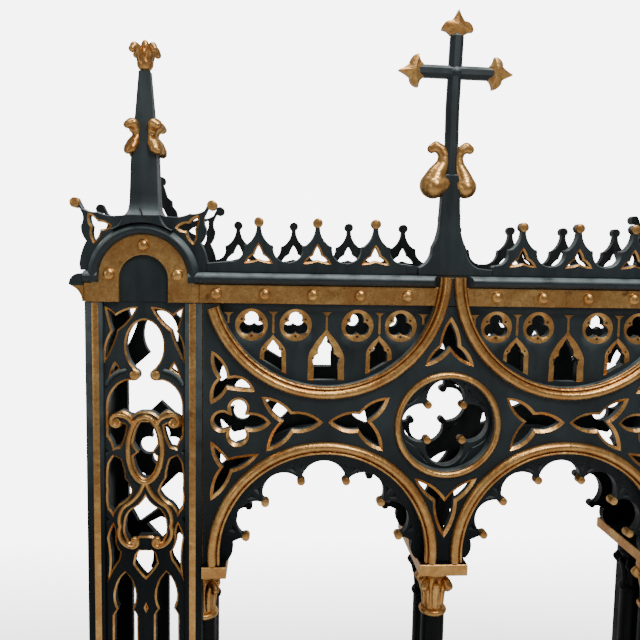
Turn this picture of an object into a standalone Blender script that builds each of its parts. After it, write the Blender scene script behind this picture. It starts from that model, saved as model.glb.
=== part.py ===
"""Oratory altar canopy in painted and gilded wood.

Two square pierced towers carry a two-bay openwork screen in front and a plainer one behind,
with a cornice, cresting, two spires and a central cross. Metres, Z up, front towards -Y,
origin at the middle of the underside.
"""
import math

import bmesh
import bpy
from mathutils import Vector
from mathutils.geometry import delaunay_2d_cdt

# Fits between neighbouring pieces
GAP = 0.0003
BITE = 0.001
MILLIMETRE = 0.001

# Plan
BAY_HALF = 0.250
TOWER_WIDTH = 0.227
TOWER_OVERLAP = 0.003
TOWER_HALF_DEPTH = 0.118
POST = 0.034
PLINTH_MARGIN = 0.020
PLINTH_HALF_DEPTH = 0.150

# Heights
PLINTH_HEIGHT = 0.060
BASE_HEIGHT = 0.070
CAPITAL_HEIGHT = 0.107
COLUMN_HEIGHT = 0.660
IMPOST_HEIGHT = 0.025
STILT = 0.020
ARC_SPACING = 2.288 * BAY_HALF
ARC_DROP = 0.057
BAND_HEIGHT = 0.037
ROLL_HEIGHT = 0.023
PANEL_RAIL = 0.130

# Boards and layers, as depths either side of the middle plane
BOARD = 0.018
TRACERY = 0.022
SIDE_BOARD = 0.014
PANEL_RECESS = 0.008
SIDE_RECESS = 0.002
CRESTING = 0.018
TRACERY_LAP = 0.010
BEAM_DEPTH = 0.028
BAND_PROUD = 0.003
ROLL_PROUD = 0.013
CORNICE_SEAT = 0.006
ARC_WEB_SIDE = 0.009
IMPOST_LIP = 0.008

# Mouldings and turnings
MOULDING_WIDTH = 0.025
MOULDING_RISE = 0.012
ARCH_FOOT_GAP = 0.014
ARC_MEETING_GAP = 0.002
ROSETTE_RADIUS = 0.44 * BAY_HALF
ROSETTE_WIDTH = 0.013
SHAFT_RADIUS = 0.0255
COLUMN_OFFSET = 0.0425
IMPOST_HALF_WIDTH = 0.050
IMPOST_HALF_DEPTH = 0.129
STUD_RADIUS = 0.010
STUD_HEIGHT = 0.007
STUD_PITCH = 0.0948
BALL = 0.009
CREST_PITCH_FRONT = 0.1185
CREST_FIRST_FRONT = 0.151
CREST_PITCH_BACK = 0.1254
CREST_HEIGHT = 0.098
GABLE_HEAD_WIDTH = 0.047
SPIRE_FOOT = 0.0345
SPIRE_HEIGHT = 0.333
SEAT_PROUD = 0.010
SEAT_BEHIND = 0.015
SEAT_HEIGHT = 0.030
CROSS_SHAFT = 0.026
CROSS_HEIGHT = 0.517

# Levels and places that follow
LEFT, RIGHT = -1, 1
FRONT, BACK = -1, 1
PILLAR_BOTTOM = PLINTH_HEIGHT + GAP
IMPOST_BOTTOM = PLINTH_HEIGHT + COLUMN_HEIGHT
IMPOST_TOP = IMPOST_BOTTOM + IMPOST_HEIGHT
SPRING = IMPOST_TOP + STILT
ARC_CENTRE = SPRING + ARC_SPACING
CORNICE_BOTTOM = ARC_CENTRE - ARC_DROP
BOARD_TOP = CORNICE_BOTTOM - GAP
CORNICE_TOP = CORNICE_BOTTOM + BAND_HEIGHT + ROLL_HEIGHT
CREST_BOTTOM = CORNICE_TOP + GAP
TOWER_INNER = 2 * BAY_HALF - TOWER_OVERLAP
TOWER_CENTRE = TOWER_INNER + TOWER_WIDTH / 2
TOWER_OUTER = TOWER_INNER + TOWER_WIDTH
ARCH_OUTER = BAY_HALF - ARCH_FOOT_GAP
ARCH_INNER = ARCH_OUTER - MOULDING_WIDTH
ARC_OUTER = BAY_HALF - ARC_MEETING_GAP
ARC_INNER = ARC_OUTER - MOULDING_WIDTH
ROSETTE_INNER = ROSETTE_RADIUS - ROSETTE_WIDTH
BOARD_FRONT = TOWER_HALF_DEPTH
BOARD_BACK = BOARD_FRONT - BOARD
LAYER_FRONT = BOARD_BACK - GAP
LAYER_BACK = LAYER_FRONT - TRACERY
BEAM_BACK = BOARD_FRONT - BEAM_DEPTH
CREST_FRONT = BOARD_FRONT - BAND_PROUD
CREST_BACK = CREST_FRONT - CRESTING

# Drawing units: tracery is drawn in shares of the half bay and of the tower's half width
BAY_UNIT = BAY_HALF / 250
TOWER_UNIT = TOWER_WIDTH / 227
PANEL_DATUM = 1.280
CREST_UNIT = CREST_HEIGHT / 98
ROSETTE_DROP = 271 * BAY_UNIT

# Facets
ARCH_STEPS = 10
MOULDING_STEPS = 10
ROSE_STEPS = 16
ROUND_SIDES = 8


def clear_scene():
    for item in list(bpy.data.objects):
        bpy.data.objects.remove(item, do_unlink=True)


def paint(name, colour, roughness, metallic):
    material = bpy.data.materials.new(name)
    material.use_nodes = True
    shader = material.node_tree.nodes["Principled BSDF"]
    shader.inputs["Base Color"].default_value = (*colour, 1)
    shader.inputs["Roughness"].default_value = roughness
    shader.inputs["Metallic"].default_value = metallic
    material.diffuse_color = (*colour, 1)
    return material


def add(name, shape, material, smooth=False):
    bmesh.ops.recalc_face_normals(shape, faces=shape.faces)
    mesh = bpy.data.meshes.new(name)
    shape.to_mesh(mesh)
    shape.free()
    if smooth:
        mesh.shade_smooth()
        mesh.set_sharp_from_angle(angle=math.radians(35))
    mesh.materials.append(material)
    item = bpy.data.objects.new(name, mesh)
    bpy.context.scene.collection.objects.link(item)
    return item


def guide(item):
    item.hide_render = True
    item.display_type = "WIRE"
    return item


def combine(body, others, operation="UNION"):
    for other in others:
        change = body.modifiers.new(operation.title(), "BOOLEAN")
        change.operation = operation
        change.solver = "EXACT"
        change.object = guide(other)
    return body


# Outlines: lists of (across, up) points, counterclockwise
def arc(centre_x, centre_z, radius, start, end, steps, radius_z=None):
    """Points on a circle or ellipse from one angle to another, in degrees."""
    tall = radius if radius_z is None else radius_z
    turns = [math.radians(start + (end - start) * i / steps) for i in range(steps + 1)]
    return [(centre_x + radius * math.cos(t), centre_z + tall * math.sin(t)) for t in turns]


def bow(a, b, rise, steps):
    """Points from a up to b, without b, on an arc that swells to the right by rise times its chord."""
    if rise == 0 or steps < 2:
        return [a]
    chord = math.dist(a, b)
    along = ((b[0] - a[0]) / chord, (b[1] - a[1]) / chord)
    out = (along[1], -along[0])
    sag = rise * chord
    radius = (chord * chord / 4 + sag * sag) / (2 * sag)
    half = 2 * math.atan(2 * rise)
    middle = ((a[0] + b[0]) / 2 + out[0] * (sag - radius), (a[1] + b[1]) / 2 + out[1] * (sag - radius))
    points = []
    for i in range(steps):
        turn = -half + 2 * half * i / steps
        up, across = radius * math.cos(turn), radius * math.sin(turn)
        points.append((middle[0] + out[0] * up + along[0] * across,
                       middle[1] + out[1] * up + along[1] * across))
    return points


def foils(corners, face=FRONT):
    """A closed outline from corners (x, z, rise, steps), each edge swelling outwards by its rise."""
    points = []
    for i, (x, z, rise, steps) in enumerate(corners):
        following = corners[(i + 1) % len(corners)]
        points += bow((x, z), following[:2], rise, steps if face == FRONT else steps - 1)
    return points


def flipped(points):
    return [(-x, z) for x, z in reversed(points)]


def counterclockwise(points):
    pairs = zip(points, points[1:] + points[:1])
    area = sum(a[0] * b[1] - b[0] * a[1] for a, b in pairs)
    return points if area > 0 else points[::-1]


def placed(points, unit, centre_x=0.0, base_z=0.0, unit_z=None):
    tall = unit if unit_z is None else unit_z
    return [(centre_x + x * unit, base_z + z * tall) for x, z in points]


# Solids
def across_front(side, face):
    return lambda a, b, t: (side * a, face * t, b)


def along_x(face):
    return lambda a, b, t: (t, face * a, b)


def along_y(side):
    return lambda a, b, t: (side * a, t, b)


def plate(name, outline, openings, near, far, place, material):
    """A board cut to an outline, with openings right through it."""
    points, loops = [], []
    for loop in [outline] + openings:
        loops.append(list(range(len(points), len(points) + len(loop))))
        points += [Vector(point) for point in counterclockwise(loop)]
    flat, _, triangles, _, _, sources = delaunay_2d_cdt(points, [], loops, 1, 1e-7)
    shape = bmesh.new()
    corners = [shape.verts.new(place(x, z, near)) for x, z in flat]
    for triangle, source in zip(triangles, sources):
        if list(source) == [0]:
            shape.faces.new([corners[i] for i in triangle])
    loose = [corner for corner in corners if not corner.link_faces]
    bmesh.ops.delete(shape, geom=loose, context="VERTS")
    grown = bmesh.ops.extrude_face_region(shape, geom=shape.faces[:], use_keep_orig=True)
    moved = [part for part in grown["geom"] if isinstance(part, bmesh.types.BMVert)]
    shift = Vector(place(0, 0, far)) - Vector(place(0, 0, near))
    bmesh.ops.translate(shape, verts=moved, vec=shift)
    return add(name, shape, material)


def block(name, spans, material):
    (x0, x1), (y0, y1), (z0, z1) = spans
    outline = [(x0, z0), (x1, z0), (x1, z1), (x0, z1)]
    return plate(name, outline, [], y0, y1, lambda a, b, t: (a, t, b), material)


def tiers(name, levels, material):
    """A stack of rectangles (x0, x1, half depth, z) joined into one moulded block."""
    shape = bmesh.new()
    rings = []
    for x0, x1, half, z in levels:
        corners = [(x0, -half), (x1, -half), (x1, half), (x0, half)]
        rings.append([shape.verts.new((x, y, z)) for x, y in corners])
    for low, high in zip(rings, rings[1:]):
        for i in range(4):
            shape.faces.new([low[i], low[(i + 1) % 4], high[(i + 1) % 4], high[i]])
    shape.faces.new(rings[0][::-1])
    shape.faces.new(rings[-1])
    return add(name, shape, material)


def moulding(name, centre, section, sweep, place, material):
    """A round moulding: section points (radius, depth) carried round a centre through an angle."""
    start, end, steps = sweep
    closed = abs(end - start) == 360
    shape = bmesh.new()
    rings = []
    for i in range(steps if closed else steps + 1):
        turn = math.radians(start + (end - start) * i / steps)
        rings.append([shape.verts.new(place(centre[0] + r * math.cos(turn), centre[1] + r * math.sin(turn), d))
                      for r, d in section])
    pairs = list(zip(rings, rings[1:] + rings[:1])) if closed else list(zip(rings, rings[1:]))
    count = len(section)
    for ring, following in pairs:
        for i in range(count):
            after = (i + 1) % count
            shape.faces.new([ring[i], ring[after], following[after], following[i]])
    if not closed:
        shape.faces.new(rings[0])
        shape.faces.new(rings[-1])
    return add(name, shape, material, smooth=True)


def turned(name, profile, centre, sides, half_side, material):
    """A turned piece about a vertical axis, or the half of it on one side (-1 or 1) of a flat back."""
    shape = bmesh.new()
    corners = [shape.verts.new((0, r, z)) for r, z in profile]
    edges = [shape.edges.new(pair) for pair in zip(corners, corners[1:])]
    angle = math.pi if half_side else 2 * math.pi
    steps = sides // 2 if half_side else sides
    bmesh.ops.spin(shape, geom=corners + edges, axis=(0, 0, 1), cent=(0, 0, 0), angle=angle,
                   steps=steps, use_merge=not half_side)
    bmesh.ops.remove_doubles(shape, verts=shape.verts, dist=1e-5)
    if half_side:
        rim = [edge for edge in shape.edges if edge.is_boundary]
        bmesh.ops.holes_fill(shape, edges=rim, sides=0)
        middle = sum((corner.co.x for corner in shape.verts)) / len(shape.verts)
        if middle * half_side < 0:
            bmesh.ops.scale(shape, vec=(-1, 1, 1), verts=shape.verts)
        bmesh.ops.triangulate(shape, faces=[face for face in shape.faces if len(face.verts) > 4])
    bmesh.ops.translate(shape, verts=shape.verts, vec=centre)
    return add(name, shape, material, smooth=True)


def studs(places, depth, face, material):
    """Domed nail heads, as one set of solids that is joined to what they are nailed on."""
    shape = bmesh.new()
    sides = 6
    for x, z in places:
        rings = []
        for radius, out in ((STUD_RADIUS, -BITE), (STUD_RADIUS, 0), (0.6 * STUD_RADIUS, 0.8 * STUD_HEIGHT)):
            ring = arc(x, z, radius, 0, 360, sides)[:sides]
            rings.append([shape.verts.new((a, face * (depth + out), b)) for a, b in ring])
        tip = shape.verts.new((x, face * (depth + STUD_HEIGHT), z))
        shape.faces.new(rings[0][::-1])
        for low, high in zip(rings, rings[1:]):
            for i in range(sides):
                after = (i + 1) % sides
                shape.faces.new([low[i], low[after], high[after], high[i]])
        for i in range(sides):
            shape.faces.new([rings[2][i], rings[2][(i + 1) % sides], tip])
    return add("studs_guide", shape, material)


# Arcade boards
SPANDREL = {
    "upper": [(-228, 418, .12, 2), (-217, 365, .14, 2), (-230, 315, .10, 2), (-197, 343, .03, 1),
              (-145, 338, .22, 3), (-193, 370, .12, 2)],
    "fish": [(-155, 296, .72, 4), (-196, 298, .82, 4), (-198, 257, .72, 4), (-155, 257, .14, 2),
             (-112, 275, .14, 2)],
    "wing": [(-129, 328, .10, 2), (-93, 277, .10, 2), (-118, 217, .12, 2), (-65, 255, .12, 2),
             (-7, 276, .12, 2), (-68, 298, .12, 2)],
    "lower": [(-230, 238, .10, 2), (-212, 183, .10, 2), (-230, 117, .10, 2), (-187, 173, .10, 2),
              (-135, 212, .03, 1), (-195, 203, .03, 1)],
}
MIDDLE = {
    "above": [(0, 493, .08, 2), (-22, 435, .10, 2), (-50, 392, .10, 2), (0, 423, .10, 2),
              (50, 392, .10, 2), (22, 435, .08, 2)],
    "below": [(-63, 160, .08, 2), (-25, 110, .08, 2), (0, 35, .08, 2), (25, 110, .08, 2),
              (63, 160, .10, 2), (0, 118, .10, 2)],
}


def arcade_outline():
    end = TOWER_INNER - GAP
    foot = IMPOST_TOP + GAP
    dip = math.degrees(math.asin((ARC_CENTRE - BOARD_TOP) / ARC_INNER))
    bottom, top = [(-end, foot)], []
    for centre in (-BAY_HALF, BAY_HALF):
        bottom += [(centre - ARCH_INNER, foot)]
        bottom += arc(centre, SPRING, ARCH_INNER, 180, 0, ARCH_STEPS)
        bottom += [(centre + ARCH_INNER, foot)]
    for centre in (BAY_HALF, -BAY_HALF):
        top += arc(centre, ARC_CENTRE, ARC_INNER, -dip, dip - 180, ARCH_STEPS)
    return bottom + [(end, foot), (end, BOARD_TOP)] + top + [(-end, BOARD_TOP)]


def arcade_openings(face):
    openings = []
    for corners in SPANDREL.values():
        openings.append(foils(corners, face))
    openings.append(flipped(foils(SPANDREL["wing"], face)))
    left = [placed(points, BAY_UNIT, -BAY_HALF, SPRING) for points in openings]
    middle = [placed(foils(corners, face), BAY_UNIT, 0, SPRING) for corners in MIDDLE.values()]
    rose = arc(0, SPRING + ROSETTE_DROP, ROSETTE_INNER, 0, 360, ROSE_STEPS)[:-1]
    return left + [flipped(points) for points in left] + middle + [rose]


# Tympanum panels, drawn about the centre of the hanging arc
def trefoil(centre_x, centre_z, face):
    reach, rise, steps = 14.3, 0.76, 3
    corners = []
    for angle in (30, 150, 270):
        turn = math.radians(angle)
        corners.append((centre_x + reach * math.cos(turn), centre_z + reach * math.sin(turn), rise, steps))
    return foils(corners, face)


def lancet(centre, half, apex, shoulder, sill):
    def floor(x):
        return (x, -math.sqrt(sill * sill - x * x))
    right = [(centre + half, shoulder), (centre + 0.55 * half, shoulder + 22), (centre, apex)]
    left = [(centre - 0.55 * half, shoulder + 22), (centre - half, shoulder)]
    return [floor(centre - half), floor(centre), floor(centre + half)] + right + left


def tympanum(name, side, face, material):
    radius = ARC_INNER + TRACERY_LAP
    dip = math.degrees(math.asin((ARC_CENTRE - BOARD_TOP) / radius))
    outline = arc(0, ARC_CENTRE, radius, dip - 180, -dip, ARCH_STEPS)
    outline = [(x + BAY_HALF, z) for x, z in outline]
    sill = 214
    shapes = [trefoil(x, -101, face) for x in (-151, -62.5, 62.5, 151)]
    shapes += [lancet(-107.5, 20.5, -135, -164, sill), lancet(0, 23.5, -124, -166, sill),
               lancet(107.5, 20.5, -135, -164, sill)]
    openings = [placed(points, BAY_UNIT, BAY_HALF, ARC_CENTRE) for points in shapes]
    return plate(name, outline, openings, LAYER_BACK, LAYER_FRONT, across_front(side, face), material)


# Arch cusping, drawn about the arch centre
CUSP_ANGLES = (-76, -47, -16.5, 16.5, 47, 76)
CUSP_DROP = 10


def cusp_tip(angle, ball_at, neck_at, neck, ball, ball_steps):
    """Neck, ball and neck of one cusp, met from left to right, angle from the vertical in degrees."""
    turn = math.radians(angle)
    out = (math.sin(turn), math.cos(turn))
    over = (math.cos(turn), -math.sin(turn))

    def at(radial, sideways):
        return (out[0] * radial + over[0] * sideways, out[1] * radial + over[1] * sideways)
    points = [at(neck_at, -neck)]
    for i in range(ball_steps + 1):
        swing = math.radians(-120 + 240 * i / ball_steps)
        points.append(at(ball_at - ball * math.cos(swing), ball * math.sin(swing)))
    return points + [at(neck_at, neck)]


def cusping(name, side, face, material):
    radius = ARCH_INNER + TRACERY_LAP
    foot = IMPOST_TOP + GAP
    outer = [(radius, foot - SPRING)] + arc(0, 0, radius, 0, 180, ARCH_STEPS) + [(-radius, foot - SPRING)]
    ball_steps = 3 if face == FRONT else 2
    tips = [cusp_tip(angle, 164, 171, 5, 8.5, ball_steps) for angle in CUSP_ANGLES]
    inner = []
    for tip, following in zip(tips, tips[1:]):
        inner += tip + bow(tip[-1], following[0], -0.37, 3)[1:]
    inner += tips[-1]
    inner = placed(inner, BAY_UNIT, 0, -CUSP_DROP * BAY_UNIT)
    toe = placed([(-197, -20), (-191, 15)], BAY_UNIT)
    toe[0] = (toe[0][0], foot - SPRING)
    outline = outer + toe + inner + flipped(toe)
    outline = [(x + BAY_HALF, z + SPRING) for x, z in outline]
    return plate(name, outline, [], LAYER_BACK, LAYER_FRONT, across_front(side, face), material)


def quatrefoil(name, face, material):
    rim = ROSETTE_INNER + TRACERY_LAP
    centre = SPRING + ROSETTE_DROP
    outline = arc(0, centre, rim, 0, 360, ROSE_STEPS)[:-1]
    inside = []
    tips = [cusp_tip(angle, 52, 60, 4, 8, 3 if face == FRONT else 2) for angle in (45, 135, 225, 315)]
    for i, tip in enumerate(tips):
        inside += tip + bow(tip[-1], tips[(i + 1) % 4][0], -0.56, 4)[1:]
    corners = []
    for angle in (45, 135, 225, 315):
        corner = []
        for radius, swing in ((79, 0), (98, 19), (98, -19)):
            turn = math.radians(angle + swing)
            corner.append((radius * math.cos(turn), radius * math.sin(turn)))
        corners.append(corner)
    openings = [placed(points, BAY_UNIT, 0, centre) for points in [inside] + corners]
    return plate(name, outline, openings, LAYER_BACK, LAYER_FRONT, across_front(RIGHT, face), material)


def round_section(inner, outer, base, top):
    """Half-round section, flat on the board."""
    width = outer - inner
    depth = top - base
    return [(inner, base), (outer, base), (outer - 0.16 * width, base + 0.75 * depth),
            ((inner + outer) / 2, top), (inner + 0.16 * width, base + 0.75 * depth)]


def arch_moulding(name, side, face, material):
    base = BOARD_FRONT + GAP
    section = round_section(ARCH_INNER, ARCH_OUTER, base, base + MOULDING_RISE)
    drop = math.degrees(math.asin((STILT - GAP) / ARCH_OUTER))
    sweep = (-drop, 180 + drop, MOULDING_STEPS)
    return moulding(name, (BAY_HALF, SPRING), section, sweep, across_front(side, face), material)


def hanging_arcs(name, face, material):
    """Both hanging arcs, which meet under the cross and are one piece there."""
    base = BOARD_FRONT + GAP
    top = base + MOULDING_RISE
    section = round_section(ARC_INNER, ARC_OUTER, base, top)
    place = across_front(RIGHT, face)
    lift = math.degrees(math.asin(1.1 * ARC_DROP / ARC_INNER))
    sweep = (-180 + lift, 0, MOULDING_STEPS)
    left = moulding(name, (-BAY_HALF, ARC_CENTRE), section, sweep, place, material)
    sweep = (-180, -lift, MOULDING_STEPS)
    right = moulding("arc_guide_" + name, (BAY_HALF, ARC_CENTRE), section, sweep, place, material)
    reach = ARC_MEETING_GAP + MOULDING_WIDTH / 2
    web_outline = [(-reach, ARC_CENTRE - ARC_DROP), (reach, ARC_CENTRE - ARC_DROP),
                   (reach, ARC_CENTRE - BITE), (-reach, ARC_CENTRE - BITE)]
    web = plate("web_guide_" + name, web_outline, [], base, base + 0.6 * MOULDING_RISE, place, material)
    return combine(left, [right, web])


def rosette_ring(name, face, material):
    base = BOARD_FRONT + GAP
    section = round_section(ROSETTE_INNER, ROSETTE_RADIUS, base, base + 0.7 * MOULDING_RISE)
    centre = (0, SPRING + ROSETTE_DROP)
    return moulding(name, centre, section, (0, 360, ROSE_STEPS), across_front(RIGHT, face), material)


# Cornice: a flat band with a round roll over it, notched where the hanging arcs cross it
def cornice_section():
    band = BOARD_FRONT + BAND_PROUD
    roll = BOARD_FRONT + ROLL_PROUD
    middle = CORNICE_TOP - ROLL_HEIGHT / 2
    nose = arc(roll - ROLL_HEIGHT / 2, middle, ROLL_HEIGHT / 2, -90, 90, 4)
    return [(BEAM_BACK, CORNICE_BOTTOM), (band, CORNICE_BOTTOM), (band, CORNICE_TOP - ROLL_HEIGHT)] + nose + [
        (BEAM_BACK, CORNICE_TOP)]


def cornice(name, face, with_studs, material):
    reach = TOWER_INNER + CORNICE_SEAT - GAP
    beam = plate(name, cornice_section(), [], -reach, reach, along_x(face), material)
    notch_half = ARC_MEETING_GAP + MOULDING_WIDTH + ARC_WEB_SIDE
    depths = sorted((face * BOARD_FRONT, face * (BOARD_FRONT + 2 * ROLL_PROUD)))
    notch = block("notch_guide_" + name, ((-notch_half, notch_half), depths,
                                          (CORNICE_BOTTOM - BITE, CORNICE_TOP + BITE)), material)
    combine(beam, [notch], "DIFFERENCE")
    if with_studs:
        count = int((reach - STUD_RADIUS) / STUD_PITCH)
        middle = CORNICE_BOTTOM + BAND_HEIGHT / 2
        places = [(s * i * STUD_PITCH, middle) for i in range(1, count + 1) for s in (LEFT, RIGHT)]
        combine(beam, [studs(places, BOARD_FRONT + BAND_PROUD, face, material)])
    return beam


# Cresting
def crest_unit(centre, left_half, right_half, height, face):
    """One point of the cresting from its left valley to its right one, met from right to left."""
    valley = 0.018
    neck = 0.0042
    ball_z = height - BALL
    slope = [(0.94, valley), (0.6, valley + 0.2 * height), (0.47, 0.53 * height), (0.2, 0.66 * height)]
    right = [(share * right_half, z) for share, z in slope] + [(neck, ball_z - BALL)]
    left = [(-neck, ball_z - BALL)] + [(-share * left_half, z) for share, z in slope[::-1]]
    ball = arc(0, ball_z, BALL, -50, 230, 4 if face == FRONT else 3)
    return [(centre + x, CREST_BOTTOM + z) for x, z in right + ball + left]


def crest_opening(centre, face):
    if face == BACK:
        return placed([(-26, 19), (26, 19), (0, 55)], CREST_UNIT, centre, CREST_BOTTOM - CREST_UNIT)
    corners = [(-28, 18.5, 0, 1), (0, 24, 0, 1), (28, 18.5, .12, 2), (10, 38, 0, 1), (0, 57, 0, 1),
               (-10, 38, .12, 2)]
    return placed(foils(corners, face), CREST_UNIT, centre, CREST_BOTTOM - CREST_UNIT)


def cresting(name, centres, start, end, pitch, face, side, material):
    """A run of pierced points between two ends; the half valleys at the ends rise to their neighbours."""
    valley = CREST_BOTTOM + 0.018
    outline = [(start, CREST_BOTTOM), (end, CREST_BOTTOM), (end, valley + 0.006)]
    for centre in sorted(centres, reverse=True):
        left_half = min(pitch / 2, centre - start - BITE)
        right_half = min(pitch / 2, end - centre - BITE)
        outline += crest_unit(centre, left_half, right_half, CREST_HEIGHT, face)
    outline += [(start, valley + 0.006)]
    openings = [crest_opening(centre, face) for centre in centres]
    return plate(name, outline, openings, CREST_BACK, CREST_FRONT, across_front(side, face), material)


# Tower pierced panels, drawn about the tower's middle, heights in millimetres below the cornice
def from_cornice(points):
    return placed(points, TOWER_UNIT, 0, CORNICE_BOTTOM - PANEL_DATUM, MILLIMETRE)


def panel_openings(foot):
    """Openings of a front panel: head, loop, ring and scrolls, and two tall lancets."""
    head = foils([(-77, 1270, .0, 1), (-66, 1222, .08, 2), (-78, 1158, .0, 1), (-50, 1222, .05, 2),
                  (-12, 1270, .10, 2), (-56, 1256, .10, 2)])
    sliver = [(-58, 1162), (-71, 1130), (-48, 1146)]
    loop_right = arc(0, 1192, 40, 90, -52, 5, 55) + arc(21, 1134, 8, 95, 270, 3)
    loop_right += arc(25, 1070, 51, 78, 0, 3, 58) + [(76, 1010), (64, 981), (49, 985)]
    loop_right += [(34, 1034), (46, 1041)] + arc(59, 1040, 10, 200, 410, 3) + [(45, 1060), (12, 1062)]
    loop = loop_right[::-1] + [(-x, z) for x, z in loop_right[1:]]
    ring = arc(0, 985, 28, 110, 172, 2, 61) + [(-18, 978)] + arc(0, 981, 28, 190, 350, 5, 61)
    ring += [(18, 978)] + arc(0, 985, 28, 8, 70, 2, 61)
    beside = [(64, 973), (75, 955), (77, 900), (75, 860), (64, 842), (50, 868), (24, 897), (38, 925), (47, 965)]
    lyre_right = [(0, 893), (30, 862), (44, 830), (38, 795), (30, 786), (22, 792), (10, 800)]
    lyre = lyre_right[::-1] + [(-x, z) for x, z in lyre_right[1:]]
    corner = [(64, 834), (58, 800), (48, 771), (52, 752), (77, 706), (77, 800)]
    valley = [(14, 776), (-14, 776), (-22, 766), (-26, 746), (0, 712), (26, 746), (22, 766)]
    tall = lancet_pair(foot)
    diamond = [(0, 664), (-5, 652), (0, 641), (5, 652)]
    paired = [head, flipped(sliver), flipped(beside), flipped(corner)]
    shapes = paired + [flipped(points) for points in paired] + [loop, ring, lyre, valley, diamond]
    return [from_cornice(points) for points in shapes] + tall


def back_openings(foot):
    """Openings of a back panel: the same head and lancets, and a lozenge with a quatrefoil."""
    head = foils([(-77, 1270, .0, 1), (-66, 1222, .08, 2), (-78, 1158, .0, 1), (-50, 1222, .05, 2),
                  (-12, 1270, .10, 2), (-56, 1256, .10, 2)])
    loop = arc(0, 1192, 40, 230, -50, 6, 55) + [(76, 1105), (76, 1010), (40, 1000), (0, 1038)]
    loop += [(-40, 1000), (-76, 1010), (-76, 1105)]
    four = foils([(20, 957, .72, 3), (-20, 957, .72, 3), (-20, 917, .72, 3), (20, 917, .72, 3)])
    below = [(76, 865), (76, 800), (52, 752), (0, 790), (-52, 752), (-76, 800), (-76, 865), (-40, 874),
             (0, 836), (40, 874)]
    beside = [(77, 985), (54, 937), (77, 889)]
    valley = [(0, 770), (-36, 752), (0, 712), (36, 752)]
    shapes = [head, flipped(head), beside, flipped(beside), loop, four, below, valley]
    return [from_cornice(points) for points in shapes] + lancet_pair(foot)


def lancet_pair(foot):
    half = foils([(26, 0, 0, 1), (26, 636, 0, 1), (18, 650, .12, 2), (20, 700, .10, 1), (0, 731, .10, 1),
                  (-20, 700, .12, 2), (-18, 650, 0, 1), (-26, 636, 0, 1), (-26, 0, 0, 1)])
    pair = []
    for centre in (-41.5, 41.5):
        points = from_cornice([(x + centre, z) for x, z in half])
        pair.append([(x, foot if i in (0, len(points) - 1) else z) for i, (x, z) in enumerate(points)])
    return pair


def tower_panel(name, side, face, openings, material):
    half = TOWER_WIDTH / 2 - POST - GAP
    bottom, top = PILLAR_BOTTOM, BOARD_TOP
    outline = [(-half, bottom), (half, bottom), (half, top), (-half, top)]
    stretch = half / (79.2 * TOWER_UNIT)
    rail = bottom + PANEL_RAIL
    outline = [(x + TOWER_CENTRE, z) for x, z in outline]
    cuts = [[(x * min(stretch, 1) + TOWER_CENTRE, z) for x, z in points] for points in openings(rail)]
    near = TOWER_HALF_DEPTH - PANEL_RECESS
    return plate(name, outline, cuts, near - TRACERY, near, across_front(side, face), material)


# Tower gables, drawn about the tower's middle and the cornice's underside
def ear(reach):
    """Right edge of a gable from its shoulder up to the spire's foot."""
    edge = [(reach, 60.3), (reach, 72), (110, 117), (120, 146), (116, 168)]
    edge += arc(131, 190, 10, 225, 480, 4)
    return edge + [(90, 173), (50, 165)]


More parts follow.
